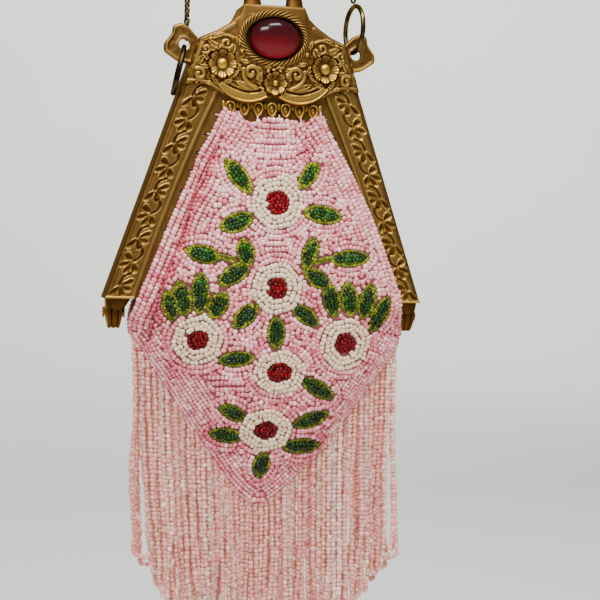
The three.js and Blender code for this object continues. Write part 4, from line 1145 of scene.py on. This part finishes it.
def copies(form, shape, quads, middles, ahead, out, mark):
    """A small shape repeated at many places: its first axis goes along ahead and its second along out."""
    ahead = unit(ahead)
    side = unit(np.cross(ahead, out))
    out = np.cross(side, ahead)
    points = (middles[:, None] + shape[..., 0, None] * ahead[:, None] + shape[..., 1, None] * out[:, None]
              + shape[..., 2, None] * side[:, None])
    count, size = points.shape[:2]
    faces = (quads[None] + np.arange(count)[:, None, None] * size).reshape(-1, 4)
    form.add(points, faces, (), np.repeat(np.broadcast_to(mark, count), size))


def chain():
    """Oval links threaded through each other along the chain's line, each turned against its neighbours."""
    turn = around(LINK.steps)
    path = np.column_stack([LINK.half_length * np.cos(turn), LINK.half_width * np.sin(turn), 0 * turn])
    shape, quads, _ = swept(path, oval(LINK.wire, LINK.wire, LINK.sides), (0, 0, 1), True)
    number = np.arange(int((CHAIN.length - LINK.half_length) / LINK.pitch))
    along = LINK.half_length + number * LINK.pitch
    ahead = chain_point(along + LINK.probe) - chain_point(along - LINK.probe)
    twist = np.radians(LINK.slant + 90 * (number % 2) + LINK.wobble * np.sin(number * 0.7))[:, None]
    across = unit(np.cross(ahead, THROUGH))
    facing = np.cos(twist) * across + np.sin(twist) * np.array(THROUGH)
    form = Form()
    copies(form, shape[None], outwards(shape, quads), chain_point(along), ahead, facing,
           chance.uniform(*LINK.wear, len(number)))
    return form.piece("fine_chain", DARK_BRASS, ["chain"])


# Cloth

def softened(heights, values):
    """A function through a table, its corners rounded over a few millimetres."""
    fine = np.arange(SOFTENING.low, SOFTENING.high, SOFTENING.step)
    window = np.hanning(SOFTENING.window)
    level = np.pad(np.interp(fine, heights, values), SOFTENING.window // 2, mode="edge")
    level = np.convolve(level, window / window.sum(), mode="valid")
    return lambda z: np.interp(z, fine, level)


CLOTH_HEIGHTS = np.concatenate([CLOTH_LOW[:, 0], CLOTH_HIGH[:, 0]])
ARM_INSIDE = inner_edge(CLOTH_HIGH[:, 0])
left_reach = softened(CLOTH_HEIGHTS, np.concatenate([CLOTH_LOW[:, 1], ARM_INSIDE + CLOTH_HIGH[:, 1]]))
right_reach = softened(CLOTH_HEIGHTS, np.concatenate([CLOTH_LOW[:, 2], ARM_INSIDE + CLOTH_HIGH[:, 2]]))
middle_depth = softened(CLOTH_HEIGHTS, np.concatenate([CLOTH_LOW[:, 3], CLOTH_HIGH[:, 3]]))
crease_line = softened(*CREASE_LINE.T)
cloth_top = softened(CLOTH_TOP[:, 0], CLOTH_TOP[:, 1])


def side_reach(x, z):
    """Half width of the pouch at a height, on the side where x lies."""
    return np.where(x < 0, left_reach(z), right_reach(z))


def seat_depth(x, z):
    """Depth of the cloth's edge: on the sewing lip beside the arms, at the side seam below them."""
    share = clamp((z - SEAM.low) / SEAM.rise)
    share = share * share * (3 - 2 * share)
    over_arm = np.where(x > 0, SEAM.over_arm * clamp((SEAM.over_from - z) / SEAM.over_fall), 0.0)
    return SEAM.depth + (LIP_SEAT - SEAM.depth + over_arm) * share


def in_crease(x, z):
    """How deep a place lies in the front's crease, from zero to one."""
    fade = clamp((z - CREASE.low) / CREASE.low_fade) * clamp((CREASE.high - z) / CREASE.high_fade)
    return fade * bell(x, crease_line(z), CREASE.width)


def furrowed(x, z):
    """Depth taken from the front by its gathers and small folds: soft grooves along slanting lines."""
    taken = np.zeros(np.broadcast(x, z).shape)
    for high_x, low_x, high, low, deep, wide in FURROWS:
        share = clamp((z - low) / (high - low))
        middle = low_x + (high_x - low_x) * share
        above = (high + FURROW_ENDS.high_fade - z) / FURROW_ENDS.high_fade
        fade = clamp(FURROW_ENDS.low_rate * share) * clamp(1 + above)
        taken = taken + deep * fade * bell(x, middle, wide)
    return taken


def cloth_depth(x, z, back=False):
    """Depth of the cloth: a pillow between its edges, with the crease and the furrows of its gathers."""
    share = clamp(np.abs(x) / side_reach(x, z))
    seat = seat_depth(x, z)
    rise = np.maximum(middle_depth(z), seat + PILLOW.least) - seat
    depth = seat + rise * (1 - share ** PILLOW.flatness) ** PILLOW.fall
    if back:
        return depth * CLOTH_BACK_SHARE
    return depth - CREASE.depth * in_crease(x, z) - furrowed(x, z)


def on_cloth(flat, back=False):
    """Points of the cloth, and the directions out of it, at places given in x and z."""
    x, z = flat[..., 0], flat[..., 1]
    side = 1 if back else -1
    depth = cloth_depth(x, z, back)
    slope_x = (cloth_depth(x + PROBE, z, back) - cloth_depth(x - PROBE, z, back)) / (2 * PROBE)
    slope_z = (cloth_depth(x, z + PROBE, back) - cloth_depth(x, z - PROBE, back)) / (2 * PROBE)
    slope_x, slope_z = np.clip(slope_x, -STEEPEST, STEEPEST), np.clip(slope_z, -STEEPEST, STEEPEST)
    out = unit(np.stack([-slope_x, side * np.ones_like(x), -slope_z], -1))
    return np.stack([x, side * depth, z], -1), out


def cloth_panel(name, back):
    """One side of the pouch's cloth, from edge to edge and from its gathered top to the point."""
    across = np.sin(np.linspace(-1, 1, PANEL.cols) * np.pi / 2)[None, :]
    share = np.linspace(0, 1, PANEL.rows)[:, None]
    top = cloth_top(across * inner_edge(PANEL.top))
    z = POUCH_TIP + PANEL.tip_gap + (top - POUCH_TIP - PANEL.tip_gap) * share
    x = across * side_reach(across, z) * PANEL.inset
    points, _ = on_cloth(np.stack([x, z], -1), back)
    quads = grid_quads(PANEL.rows, PANEL.cols)
    form = Form()
    form.add(points, quads[:, ::-1] if back else quads, (), 0.5, closed=False)
    made = form.piece(name, CLOTH, ["bag_body"])
    thick = made.modifiers.new("thickness", "SOLIDIFY")
    thick.thickness, thick.offset = PANEL.thickness * MM, -1.0
    return made


# Beads

def bead_shape(sides, rings):
    """A barrel along its thread: a few rings of points, both ends closed by strips of faces."""
    turn = around(sides)
    along, reach = BEAD_PROFILES[rings][:, :1], BEAD_PROFILES[rings][:, 1:] / 2
    points = np.stack([along + 0 * turn, reach * np.cos(turn), reach * np.sin(turn)], -1).reshape(-1, 3)
    step = np.arange(sides // 2 - 1)
    cap = np.stack([step, step + 1, sides - 2 - step, sides - 1 - step], 1)
    quads = np.concatenate([grid_quads(rings, sides, False, True), cap[:, ::-1], cap + (rings - 1) * sides])
    return points, outwards(points, quads)


def on_pouch(flat):
    """Which places lie on the pouch."""
    x, z = flat[:, 0], flat[:, 1]
    return (np.abs(x) <= side_reach(x, z) + 0.01) & (z < cloth_top(x)) & (z > POUCH_TIP)


def in_flower(flat, margin=0.0):
    """Which places lie on an embroidered flower."""
    away_x = (flat[:, :1] - BEAD_FLOWERS[:, 0]) / (BEAD_FLOWERS[:, 2] - margin)
    away_z = (flat[:, 1:] - BEAD_FLOWERS[:, 1]) / (BEAD_FLOWERS[:, 3] - margin)
    return (np.hypot(away_x, away_z) < 1).any(1)


def in_heart(flat):
    """Which places lie on a flower's red heart."""
    squash = BEAD_FLOWERS[:, 3] / BEAD_FLOWERS[:, 2]
    away_x, away_z = flat[:, :1] - BEAD_FLOWERS[:, 0], (flat[:, 1:] - BEAD_FLOWERS[:, 1]) / squash
    return (np.hypot(away_x, away_z) < BEAD_FLOWERS[:, 4] - HEART.fill_inset).any(1)


def leaf_ends(row):
    """Tip, base and width of a leaf as it is worked: a little past its marked line all round."""
    tip, base, width = row[:2], row[2:4], row[4] + LEAF_MARGIN.width
    axis = unit(tip - base)
    return tip + axis * LEAF_MARGIN.end, base - axis * LEAF_MARGIN.end, width


def in_leaf(flat, margin=0.0):
    """Which places lie on an embroidered leaf."""
    inside = np.zeros(len(flat), bool)
    for row in BEAD_LEAVES:
        tip, base, width = leaf_ends(row)
        long = np.linalg.norm(tip - base)
        axis = (tip - base) / long
        away = flat - base
        share = clamp(away @ axis / long)
        across = np.abs(away[:, 1] * axis[0] - away[:, 0] * axis[1])
        inside |= across < leaf_bulge(share) * width / 2 - margin
    return inside


def leaf_bulge(share):
    """A leaf's half width along its length, as a share of its widest: pointed at both ends."""
    return (4 * share * (1 - share)) ** 0.72


class BeadField:
    """Beads laid row by row on one side of the pouch; one too close to an earlier bead is left out."""

    def __init__(self, back):
        self.back = back
        self.taken = np.zeros((0, 3))
        self.rows = {}

    def string(self, kind, line, clear=CLEARANCE, lift=0.0, whole=False):
        """Beads at even steps along a line on the cloth."""
        line = np.asarray(line, float)
        spacing = BEADS[kind].spacing
        points, _ = on_cloth(line, self.back)
        run = np.concatenate([[0], np.cumsum(np.linalg.norm(np.diff(points, axis=0), axis=1))])
        if whole:
            count = max(3, int(round(run[-1] / spacing)))
            walk = (np.arange(count) + 0.5) * run[-1] / count
        else:
            walk = np.arange(chance.uniform(0.2, 0.8) * spacing, run[-1], spacing)
        if len(walk) == 0:
            return
        flat = np.stack([np.interp(walk, run, line[:, k]) for k in (0, 1)], 1)
        ahead_flat = np.stack([np.interp(walk + BEAD_STEP, run, line[:, k]) for k in (0, 1)], 1)
        behind_flat = np.stack([np.interp(walk - BEAD_STEP, run, line[:, k]) for k in (0, 1)], 1)
        self.lay(kind, flat, ahead_flat, behind_flat, clear, lift)

    def lay(self, kind, flat, ahead_flat, behind_flat, clear, lift):
        """Beads at given places, each along the line between two more."""
        inside = on_pouch(flat)
        if kind in ("pink", "fine_pink"):
            inside &= ~in_flower(flat) & ~in_leaf(flat)
        points, out = on_cloth(flat, self.back)
        ahead = on_cloth(ahead_flat, self.back)[0] - on_cloth(behind_flat, self.back)[0]
        middles = points + out * (BEAD_LIFT + lift)
        if len(self.taken):
            gap = np.linalg.norm(middles[:, None] - self.taken[None], axis=2).min(1)
            inside &= gap > clear
        inside &= np.linalg.norm(ahead, axis=1) > 1e-6
        self.taken = np.concatenate([self.taken, middles[inside]])
        self.rows.setdefault(kind, []).append((middles[inside], ahead[inside], out[inside]))

    def fill(self, kind, spots, clear):
        """Single beads, each on the barest of the places left, until none is bare enough."""
        spots = spots[on_pouch(spots)]
        points, out = on_cloth(spots, self.back)
        middles = points + out * BEAD_LIFT
        gap = np.concatenate([np.linalg.norm(part[:, None] - self.taken[None], axis=2).min(1)
                              for part in np.array_split(middles, max(1, len(middles) // 500))])
        chosen = []
        while gap.max() > clear:
            chosen.append(int(gap.argmax()))
            gap = np.minimum(gap, np.linalg.norm(middles - middles[chosen[-1]], axis=1))
        if chosen:
            flat = spots[chosen]
            self.lay(kind, flat, flat + (BEAD_STEP, 0.1), flat - (BEAD_STEP, 0.1), 0.0, 0.0)

    def pieces(self, names, stands_for):
        made = []
        for kind, name in names.items():
            middles, ahead, out = (np.concatenate(part) for part in zip(*self.rows[kind]))
            made.append(bead_piece(name, kind, middles, ahead, out, stands_for))
        return made


def bead_piece(name, kind, middles, ahead, out, stands_for, paler=0.0):
    """All the beads of one kind as one mesh, each a little different in size, tilt and shade.

    They are paler higher up, painted light from above; the pink ones are deeper in colour in the crease and
    furrows, painted shade, change in soft patches, and a few are lifted as painted glints.
    """
    bead = BEADS[kind]
    shape, quads = bead_shape(bead.sides, bead.rings)
    count = len(middles)
    spread = SPREAD[kind == "fringe"]
    size = chance.normal(1, spread.size, (count, 1))
    stretch = np.stack([bead.length * size, bead.width * size, bead.width * size], -1)
    tilt = unit(ahead) + chance.normal(0, spread.tilt, (count, 3))
    middles = middles + chance.normal(0, STRAY.get(kind, SEWN_STRAY), (count, 3))
    x, z = middles[:, 0], middles[:, 2]
    # Paler higher up: painted light from above.
    shade = BEAD_SHADE.middle + BEAD_SHADE.rise * np.clip(z / BEAD_SHADE.over, -1, 1) + paler
    shade = shade + chance.normal(0, spread.shade, count)
    if kind in ("pink", "fine_pink"):
        patches = np.sin(x * 0.31 + 2 * np.sin(z * 0.17)) * np.sin(z * 0.23 + 1.5 * np.sin(x * 0.13))
        # A share of the beads lifted: painted glints.
        glints = PINK_SHADE.glint * (chance.random(count) < PINK_SHADE.glints)
        # Darker in the crease and furrows: painted shade.
        folds = PINK_SHADE.crease * in_crease(x, z) + PINK_SHADE.furrow * furrowed(x, z)
        finer = PINK_SHADE.fine * (kind == "fine_pink")
        shade = shade + finer - folds + PINK_SHADE.patches * patches + glints
    form = Form()
    copies(form, shape[None] * stretch, quads, middles, tilt, out, clamp(shade))
    return form.piece(name, BEAD_FINISHES[kind], stands_for)


def oval_ring(middle_x, middle_z, half_width, half_height, wave=0.0):
    """A closed oval of points, its outline drawn in and out a little in even lobes."""
    start = chance.uniform(0, 6)
    turn = start + np.linspace(0, 2 * np.pi, 73)
    reach = 1 + wave * np.sin(PETAL.lobes * turn)
    x, z = half_width * reach * np.cos(turn), half_height * reach * np.sin(turn)
    return np.stack([middle_x + x, middle_z + z], 1)


def leaf_outline(tip, base, half_width, overrun):
    """Outline of a leaf from its base round its tip and back: widest near the middle, pointed at the tip."""
    axis = unit(tip - base)
    cross = np.array([-axis[1], axis[0]])
    share = np.linspace(0, 1, 25)
    bulge = half_width * leaf_bulge(share)
    span = np.linalg.norm(tip - base) + 2 * overrun
    spine = base - axis * overrun + axis * span * share[:, None]
    return np.concatenate([spine + cross * bulge[:, None], (spine - cross * bulge[:, None])[-2::-1]])


def bead_flower(field, x, z, half_width, half_height, heart):
    """A red heart with a ragged outline, and ivory rings round it."""
    squash = half_height / half_width
    middle = np.array([[x, z]])
    field.lay("red", middle, middle + (BEAD_STEP, 0.0), middle - (BEAD_STEP, 0.0), 0.0, HEART.lift)
    field.string("red", oval_ring(x, z, HEART.first, HEART.first * squash), HEART.clear, HEART.lift, True)
    reach = heart - HEART.rim
    count = int(2 * np.pi * reach / BEADS["red"].spacing)
    turn = chance.uniform(0, 6) + around(count)
    turn = turn[chance.random(count) > HEART.ragged]
    step = BEAD_STEP * np.stack([-np.sin(turn), squash * np.cos(turn)], 1)
    spots = middle + reach * np.stack([np.cos(turn), squash * np.sin(turn)], 1)
    field.lay("red", spots, spots + step, spots - step, HEART.clear, HEART.rim_lift)
    for ring in np.arange(half_width - PETAL.outer, heart + PETAL.inner, -PETAL.pitch):
        line = oval_ring(x, z, ring, ring * squash, PETAL.wave)
        field.string("ivory", line, PETAL.clear, PETAL.lift, True)


def bead_leaf(field, row):
    """An olive rim and emerald rows inside it."""
    tip, base, width = leaf_ends(row)
    for inset, overrun in LEAF_RIMS:
        line = leaf_outline(tip, base, width / 2 - inset, overrun)
        field.string("leaf_rim", line, LEAF_RIM.clear, LEAF_RIM.lift)
    cross = unit(tip - base) @ np.array([[0, 1], [-1, 0]])
    share = np.linspace(0.1, 0.9, 17)
    count = max(1, int(round((width - LEAF_CORE.rims) / LEAF_CORE.row)))
    for number in range(count):
        off = (number - (count - 1) / 2) * LEAF_CORE.row
        spine = base + (tip - base) * share[:, None] + cross * off
        inside = np.abs(off) < leaf_bulge(share) * width / 2 - LEAF_CORE.margin + LEAF_CORE.play
        if inside.sum() > 1:
            field.string("leaf_core", spine[inside], LEAF_CORE.clear, LEAF_CORE.lift)


def embroider(field):
    """Flowers and leaves first, then the gaps in them, then rows that echo them."""
    for row in BEAD_FLOWERS:
        bead_flower(field, *row)
    for row in BEAD_LEAVES:
        bead_leaf(field, row)
    for start_x, start_z, end_x, end_z in BEAD_STEMS:
        share = np.linspace(0, 1, 8)[:, None]
        line = np.array([start_x, start_z]) * (1 - share) + np.array([end_x, end_z]) * share
        for moved in ((0.0, 0.0), STEM_BEADS.beside):
            field.string("leaf_rim", line + moved, STEM_BEADS.clear, STEM_BEADS.lift)
    spots = places(PLACES.pitch)
    field.fill("red", spots[in_heart(spots)], HEART.fill)
    field.fill("ivory", spots[in_flower(spots, PETAL.fill_inset)], PETAL.fill)
    field.fill("leaf_core", spots[in_leaf(spots, LEAF_CORE.margin)], LEAF_CORE.fill)
    field.fill("leaf_rim", spots[in_leaf(spots, LEAF_RIM.fill_inset)], LEAF_RIM.fill)
    for echo in ECHOES:
        for x, z, half_width, half_height, _ in BEAD_FLOWERS:
            field.string("pink", oval_ring(x, z, half_width + echo, half_height + echo))
        for row in BEAD_LEAVES:
            tip, base, width = leaf_ends(row)
            field.string("pink", leaf_outline(tip, base, width / 2 + echo, echo))


def edge_rows(field, kind, count, pitch, lowest, highest):
    """Rows that follow the pouch's edge between two heights, each one pitch further in along the cloth."""
    low = np.linspace(EDGE.top, POUCH_TIP + EDGE.tip_gap, EDGE.points)
    left = np.stack([-left_reach(low), low], 1)
    right = np.stack([right_reach(low), low], 1)[::-1]
    edge = np.concatenate([left, right])
    ahead = unit(np.gradient(edge, axis=0))
    inward = np.stack([-ahead[:, 1], ahead[:, 0]], 1)
    steps = np.arange(0, EDGE.reach, EDGE.step)
    flat = edge[:, None] + inward[:, None] * steps[None, :, None]
    points, _ = on_cloth(flat, field.back)
    run = np.cumsum(np.linalg.norm(np.diff(points, axis=1), axis=2), axis=1)
    window = np.ones(EDGE.window) / EDGE.window
    for number in range(count):
        reach = steps[(run > (number + EDGE.first) * pitch).argmax(1)]
        reach = np.convolve(np.pad(reach, EDGE.window // 2, mode="edge"), window, mode="valid")
        line = edge + inward * reach[:, None]
        apart = np.linalg.norm(line[:, None] - edge[None, ::3], axis=2).min(1)
        kept = (apart > reach - EDGE.play) & (edge[:, 1] > lowest) & (edge[:, 1] < highest)
        for part in (slice(0, len(low)), slice(len(low), None)):
            if kept[part].sum() > 1:
                field.string(kind, line[part][kept[part]], EDGE.clear * pitch)


def places(pitch):
    """A grid of places over the whole pouch."""
    grid_x, grid_z = np.meshgrid(np.arange(PLACES.left, PLACES.right, pitch),
                                 np.arange(PLACES.top, POUCH_TIP, -pitch))
    return np.stack([grid_x.ravel(), grid_z.ravel()], 1)


def fill_rows(field, kind):
    """Level rows over what is left, then single beads in the gaps."""
    x = np.linspace(-LEVEL_ROWS.reach, LEVEL_ROWS.reach, LEVEL_ROWS.points)
    for height in np.arange(LEVEL_ROWS.top, POUCH_TIP, -ROW_PITCH):
        wave = LEVEL_ROWS.wave * np.sin(x * LEVEL_ROWS.wave_rate + height)
        sag = LEVEL_ROWS.sag * bell(x, 0, LEVEL_ROWS.sag_half) * clamp(height / LEVEL_ROWS.sag_over)
        field.string(kind, np.stack([x, height + wave - sag], 1))
    spots = places(PLACES.level_pitch)
    if kind == "pink":
        spots = spots[~in_flower(spots) & ~in_leaf(spots)]
    field.fill(kind, spots, CLEARANCE - PLACES.level_play)


def cover(back):
    """All the beads of one side of the pouch."""
    field = BeadField(back)
    if back:
        edge_rows(field, "plain_pink", *BACK_ROWS)
        fill_rows(field, "plain_pink")
        return field.pieces({"plain_pink": "back_pink_beads"}, ["bag_body"])
    embroider(field)
    edge_rows(field, "pink", *SIDE_ROWS)
    edge_rows(field, "fine_pink", *POINT_ROWS)
    fill_rows(field, "pink")
    names = {"pink": "front_pink_beads", "fine_pink": "point_pink_beads", "ivory": "petal_beads",
             "red": "heart_beads", "leaf_rim": "leaf_rim_beads", "leaf_core": "leaf_core_beads"}
    return field.pieces(names, ["bag_body"])


# Fringe

def lower_edge(x):
    """Height of the pouch's pointed lower edge under a place."""
    low = np.linspace(POUCH_TIP, -8, 300)
    left = np.interp(-x, left_reach(low), low)
    right = np.interp(x, right_reach(low), low)
    return np.where(x < 0, left, right)


def strand(start, lean, wave, phase, length):
    """One hanging strand: it leans a little, and sways in slow waves that grow downwards."""
    pitch = BEADS["fringe"].spacing
    fall = np.arange(0, length, pitch)
    share = fall / length
    sway = np.sin(share * 4 + phase) + 0.4 * np.sin(share * 11 + phase * 2.3)
    x = start[0] + lean * fall + wave * share * sway
    y = start[1] + 0.5 * wave * share * np.cos(share * 5 + phase * 1.7)
    return np.stack([x, y, start[2] - fall], 1)


def fringe_layer(name, layer, shift, stands_for):
    """A layer of looped strands: down, round a small turn and up again; the outermost loops hang open."""
    middles, ahead, paler = [], [], []
    lean_range, x_range = FRINGE.lean_right - FRINGE.lean_left, FRINGE.right - FRINGE.left
    turn = np.linspace(np.pi, 2 * np.pi, 5)[1:-1]
    for number in range(FRINGE.loops):
        share = (number + shift) / FRINGE.loops
        x = FRINGE.left + x_range * share
        lean = FRINGE.lean_left + lean_range * share + chance.normal(0, FRINGE.lean_spread)
        edge = max(0.0, abs(2 * share - 1) - FRINGE.open_from) / (1 - FRINGE.open_from)
        x += chance.normal(0, FRINGE.spread) * (1 - edge)
        top = lower_edge(np.clip(x, FRINGE.left + FRINGE.set_in, FRINGE.right - FRINGE.set_in)) + FRINGE.tuck
        phase, wave = chance.uniform(0, 6), FRINGE.sway * chance.uniform(*FRINGE.sways)
        length = FRINGE.length * chance.uniform(*FRINGE.lengths)
        runs = []
        for hand in (-1, 1):
            start = (x + hand * FRINGE.half_gap, layer + chance.normal(0, FRINGE.depth_spread), top)
            run = strand(start, lean, wave, phase + hand * 0.3, length)
            run[:, 0] += hand * np.linspace(0, 1, len(run)) ** 1.5 * FRINGE.half_gap * FRINGE.opening * edge
            runs.append(run)
        low = (runs[0][-1] + runs[1][-1]) / 2
        half = np.abs(runs[1][-1, 0] - runs[0][-1, 0]) / 2
        loop = low + np.stack([half * np.cos(turn), 0 * turn, FRINGE.turn * np.sin(turn)], 1)
        route = np.concatenate([runs[0], loop, runs[1][::-1]])
        middles.append(route)
        ahead.append(np.gradient(route, axis=0))
        # A share of the beads lifted: painted glints.
        glint = FRINGE.glint * (chance.random(len(route)) < FRINGE.glints)
        paler.append(chance.normal(*FRINGE.paler) + glint)
    middles, ahead, paler = np.concatenate(middles), np.concatenate(ahead), np.concatenate(paler)
    out = np.broadcast_to((0.0, -1.0, 0.0), middles.shape)
    return bead_piece(name, "fringe", middles, ahead, out, stands_for, paler)


# Sewing threads

def stitches():
    """Pale thread from each stitch hole over the cloth's edge: short round bars."""
    hole_depth = -LIP_FRONT + SEWING.set_in
    over, out, down = SEWING.top
    spots = [((x, hole_depth, z), (x * SEWING.lean + over, -LIP_FRONT - out, z - down)) for x, z in TOP_HOLES]
    over, out, down = SEWING.side
    for z in np.arange(STITCH.first, CROWN_BOTTOM * ARM_SLOPE - SEWING.short, STITCH.pitch) / ARM_SLOPE:
        x = inner_edge(z) - LIP_WIDTH * STITCH.place
        for hand in (-1, 1):
            spots.append(((hand * x, hole_depth, z), (hand * (x - over), -LIP_FRONT - out, z - down)))
    form = Form()
    share = np.linspace(0, 1, 7)[:, None]
    size = SEWING.radius * np.sqrt(np.clip(1 - (2 * share - 1) ** 4, 0.2, 1))
    for start, end in spots:
        path = np.array(start) * (1 - share) + np.array(end) * share
        path[:, 1] -= SEWING.bow * np.sin(share[:, 0] * np.pi)
        form.add(*swept(path, oval(1, 1, 8)[None] * size[:, None], (1.0, 0.2, 0.3)), 0.5)
    return form.piece("stitches", THREAD)


# Stage

def stage():
    """A pale floor that curves up far behind the bag, soft lights and an even pale surround."""
    across = np.linspace(-FLOOR.half, FLOOR.half, FLOOR.cols)
    bend = np.linspace(0, np.pi / 2, 12)
    back = np.concatenate([[-FLOOR.half], FLOOR.back + FLOOR.bend * np.sin(bend), [FLOOR.back + FLOOR.bend]])
    rise = np.concatenate([[0.0], FLOOR.bend - FLOOR.bend * np.cos(bend), [FLOOR.top]])
    level = CAD_BOX[0][2] - FLOOR.drop
    points = np.stack([across[None] + 0 * back[:, None], back[:, None] + 0 * across[None],
                       level + rise[:, None] + 0 * across[None]], -1)
    mesh = bpy.data.meshes.new("floor")
    mesh.from_pydata(points.reshape(-1, 3).tolist(), [], grid_quads(len(back), FLOOR.cols).tolist())
    mesh.polygons.foreach_set("use_smooth", np.ones(len(mesh.polygons), bool))
    paper = Finish("pale_paper", Roughness=0.9)
    stops = [(0.0, tone(226, 226, 223)), (1.0, tone(232, 232, 229))]
    paper.set("Base Color", paper.ramp(paper.noise(3.0), stops))
    mesh.materials.append(paper.material)
    floor = bpy.data.objects.new("floor", mesh)
    bpy.context.scene.collection.objects.link(floor)
    world = bpy.data.worlds.new("surround")
    bpy.context.scene.world = world
    world.use_nodes = True
    world.node_tree.nodes["Background"].inputs["Color"].default_value = SURROUND.colour
    world.node_tree.nodes["Background"].inputs["Strength"].default_value = SURROUND.strength
    middle = np.array([0, 0, ARM_LEVEL * MM])
    for number, (place, aim, wide, high, power, mirrored) in enumerate(LAMPS):
        lamp = bpy.data.lights.new(f"softbox_{number}", "AREA")
        lamp.shape, lamp.size, lamp.size_y, lamp.energy = "RECTANGLE", wide, high, power
        holder = bpy.data.objects.new(f"softbox_{number}", lamp)
        holder.visible_glossy = mirrored
        bpy.context.scene.collection.objects.link(holder)
        back_axis = unit(np.subtract(place, aim).astype(float))
        right = unit(np.cross((0, 0, 1.0), back_axis))
        holder.matrix_world = placed(right, np.cross(back_axis, right), back_axis, middle + place)


def placed(right, up, back, spot):
    """A placing matrix from three directions and a point."""
    table = np.eye(4)
    table[:3, :4] = np.stack([right, up, back, spot], 1)
    return Matrix(table.tolist())


def camera():
    """The camera at the photograph's place: to the left of the bag, a little above it and slightly rolled."""
    yaw, pitch, roll = np.radians([CAMERA.yaw, CAMERA.pitch, CAMERA.roll])
    level = np.array([np.cos(yaw), -np.sin(yaw), 0])
    ahead = np.array([np.cos(pitch) * np.sin(yaw), np.cos(pitch) * np.cos(yaw), -np.sin(pitch)])
    upright = np.array([np.sin(pitch) * np.sin(yaw), np.sin(pitch) * np.cos(yaw), np.cos(pitch)])
    right = np.cos(roll) * level + np.sin(roll) * upright
    up = np.cos(roll) * upright - np.sin(roll) * level
    spot = np.array([0, 0, ARM_LEVEL]) - CAMERA.across * right - CAMERA.rise * up
    spot = (spot - CAMERA.distance * ahead) * MM
    lens_data = bpy.data.cameras.new("camera")
    lens_data.sensor_width = SENSOR
    lens_data.lens = CAMERA.distance / (PICTURE_MM * PICTURE_SIDE) * SENSOR
    lens_data.clip_start, lens_data.clip_end = 0.01, 50.0
    holder = bpy.data.objects.new("camera", lens_data)
    bpy.context.scene.collection.objects.link(holder)
    holder.matrix_world = placed(right, up, -ahead, spot)
    bpy.context.scene.camera = holder


def dress_pins():
    """The hinge pins stay as they are and take the brass."""
    for made in bpy.data.objects:
        if made.get("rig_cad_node") in ("hinge_pin_left", "hinge_pin_right"):
            made.data.materials.clear()
            made.data.materials.append(PIN_BRASS)


front_frame()
back_frame()
rope_bezel()
stone()
loose_ring("right_ring", "ring_right", RIGHT_RING)
loose_ring("left_ring", "ring_left", LEFT_RING)
chain()
dress_pins()
front_cloth = cloth_panel("front_cloth", False)
back_cloth = cloth_panel("back_cloth", True)
front_beads = cover(False)
back_beads = cover(True)
front_fringe = fringe_layer("front_fringe_beads", -FRINGE.layer, 0.28, ["fringe"])
middle_fringe = fringe_layer("middle_fringe_beads", 0.0, 0.45, ["fringe"])
back_fringe = fringe_layer("back_fringe_beads", FRINGE.layer, 0.62, ["fringe"])
stitches()
stage()
camera()
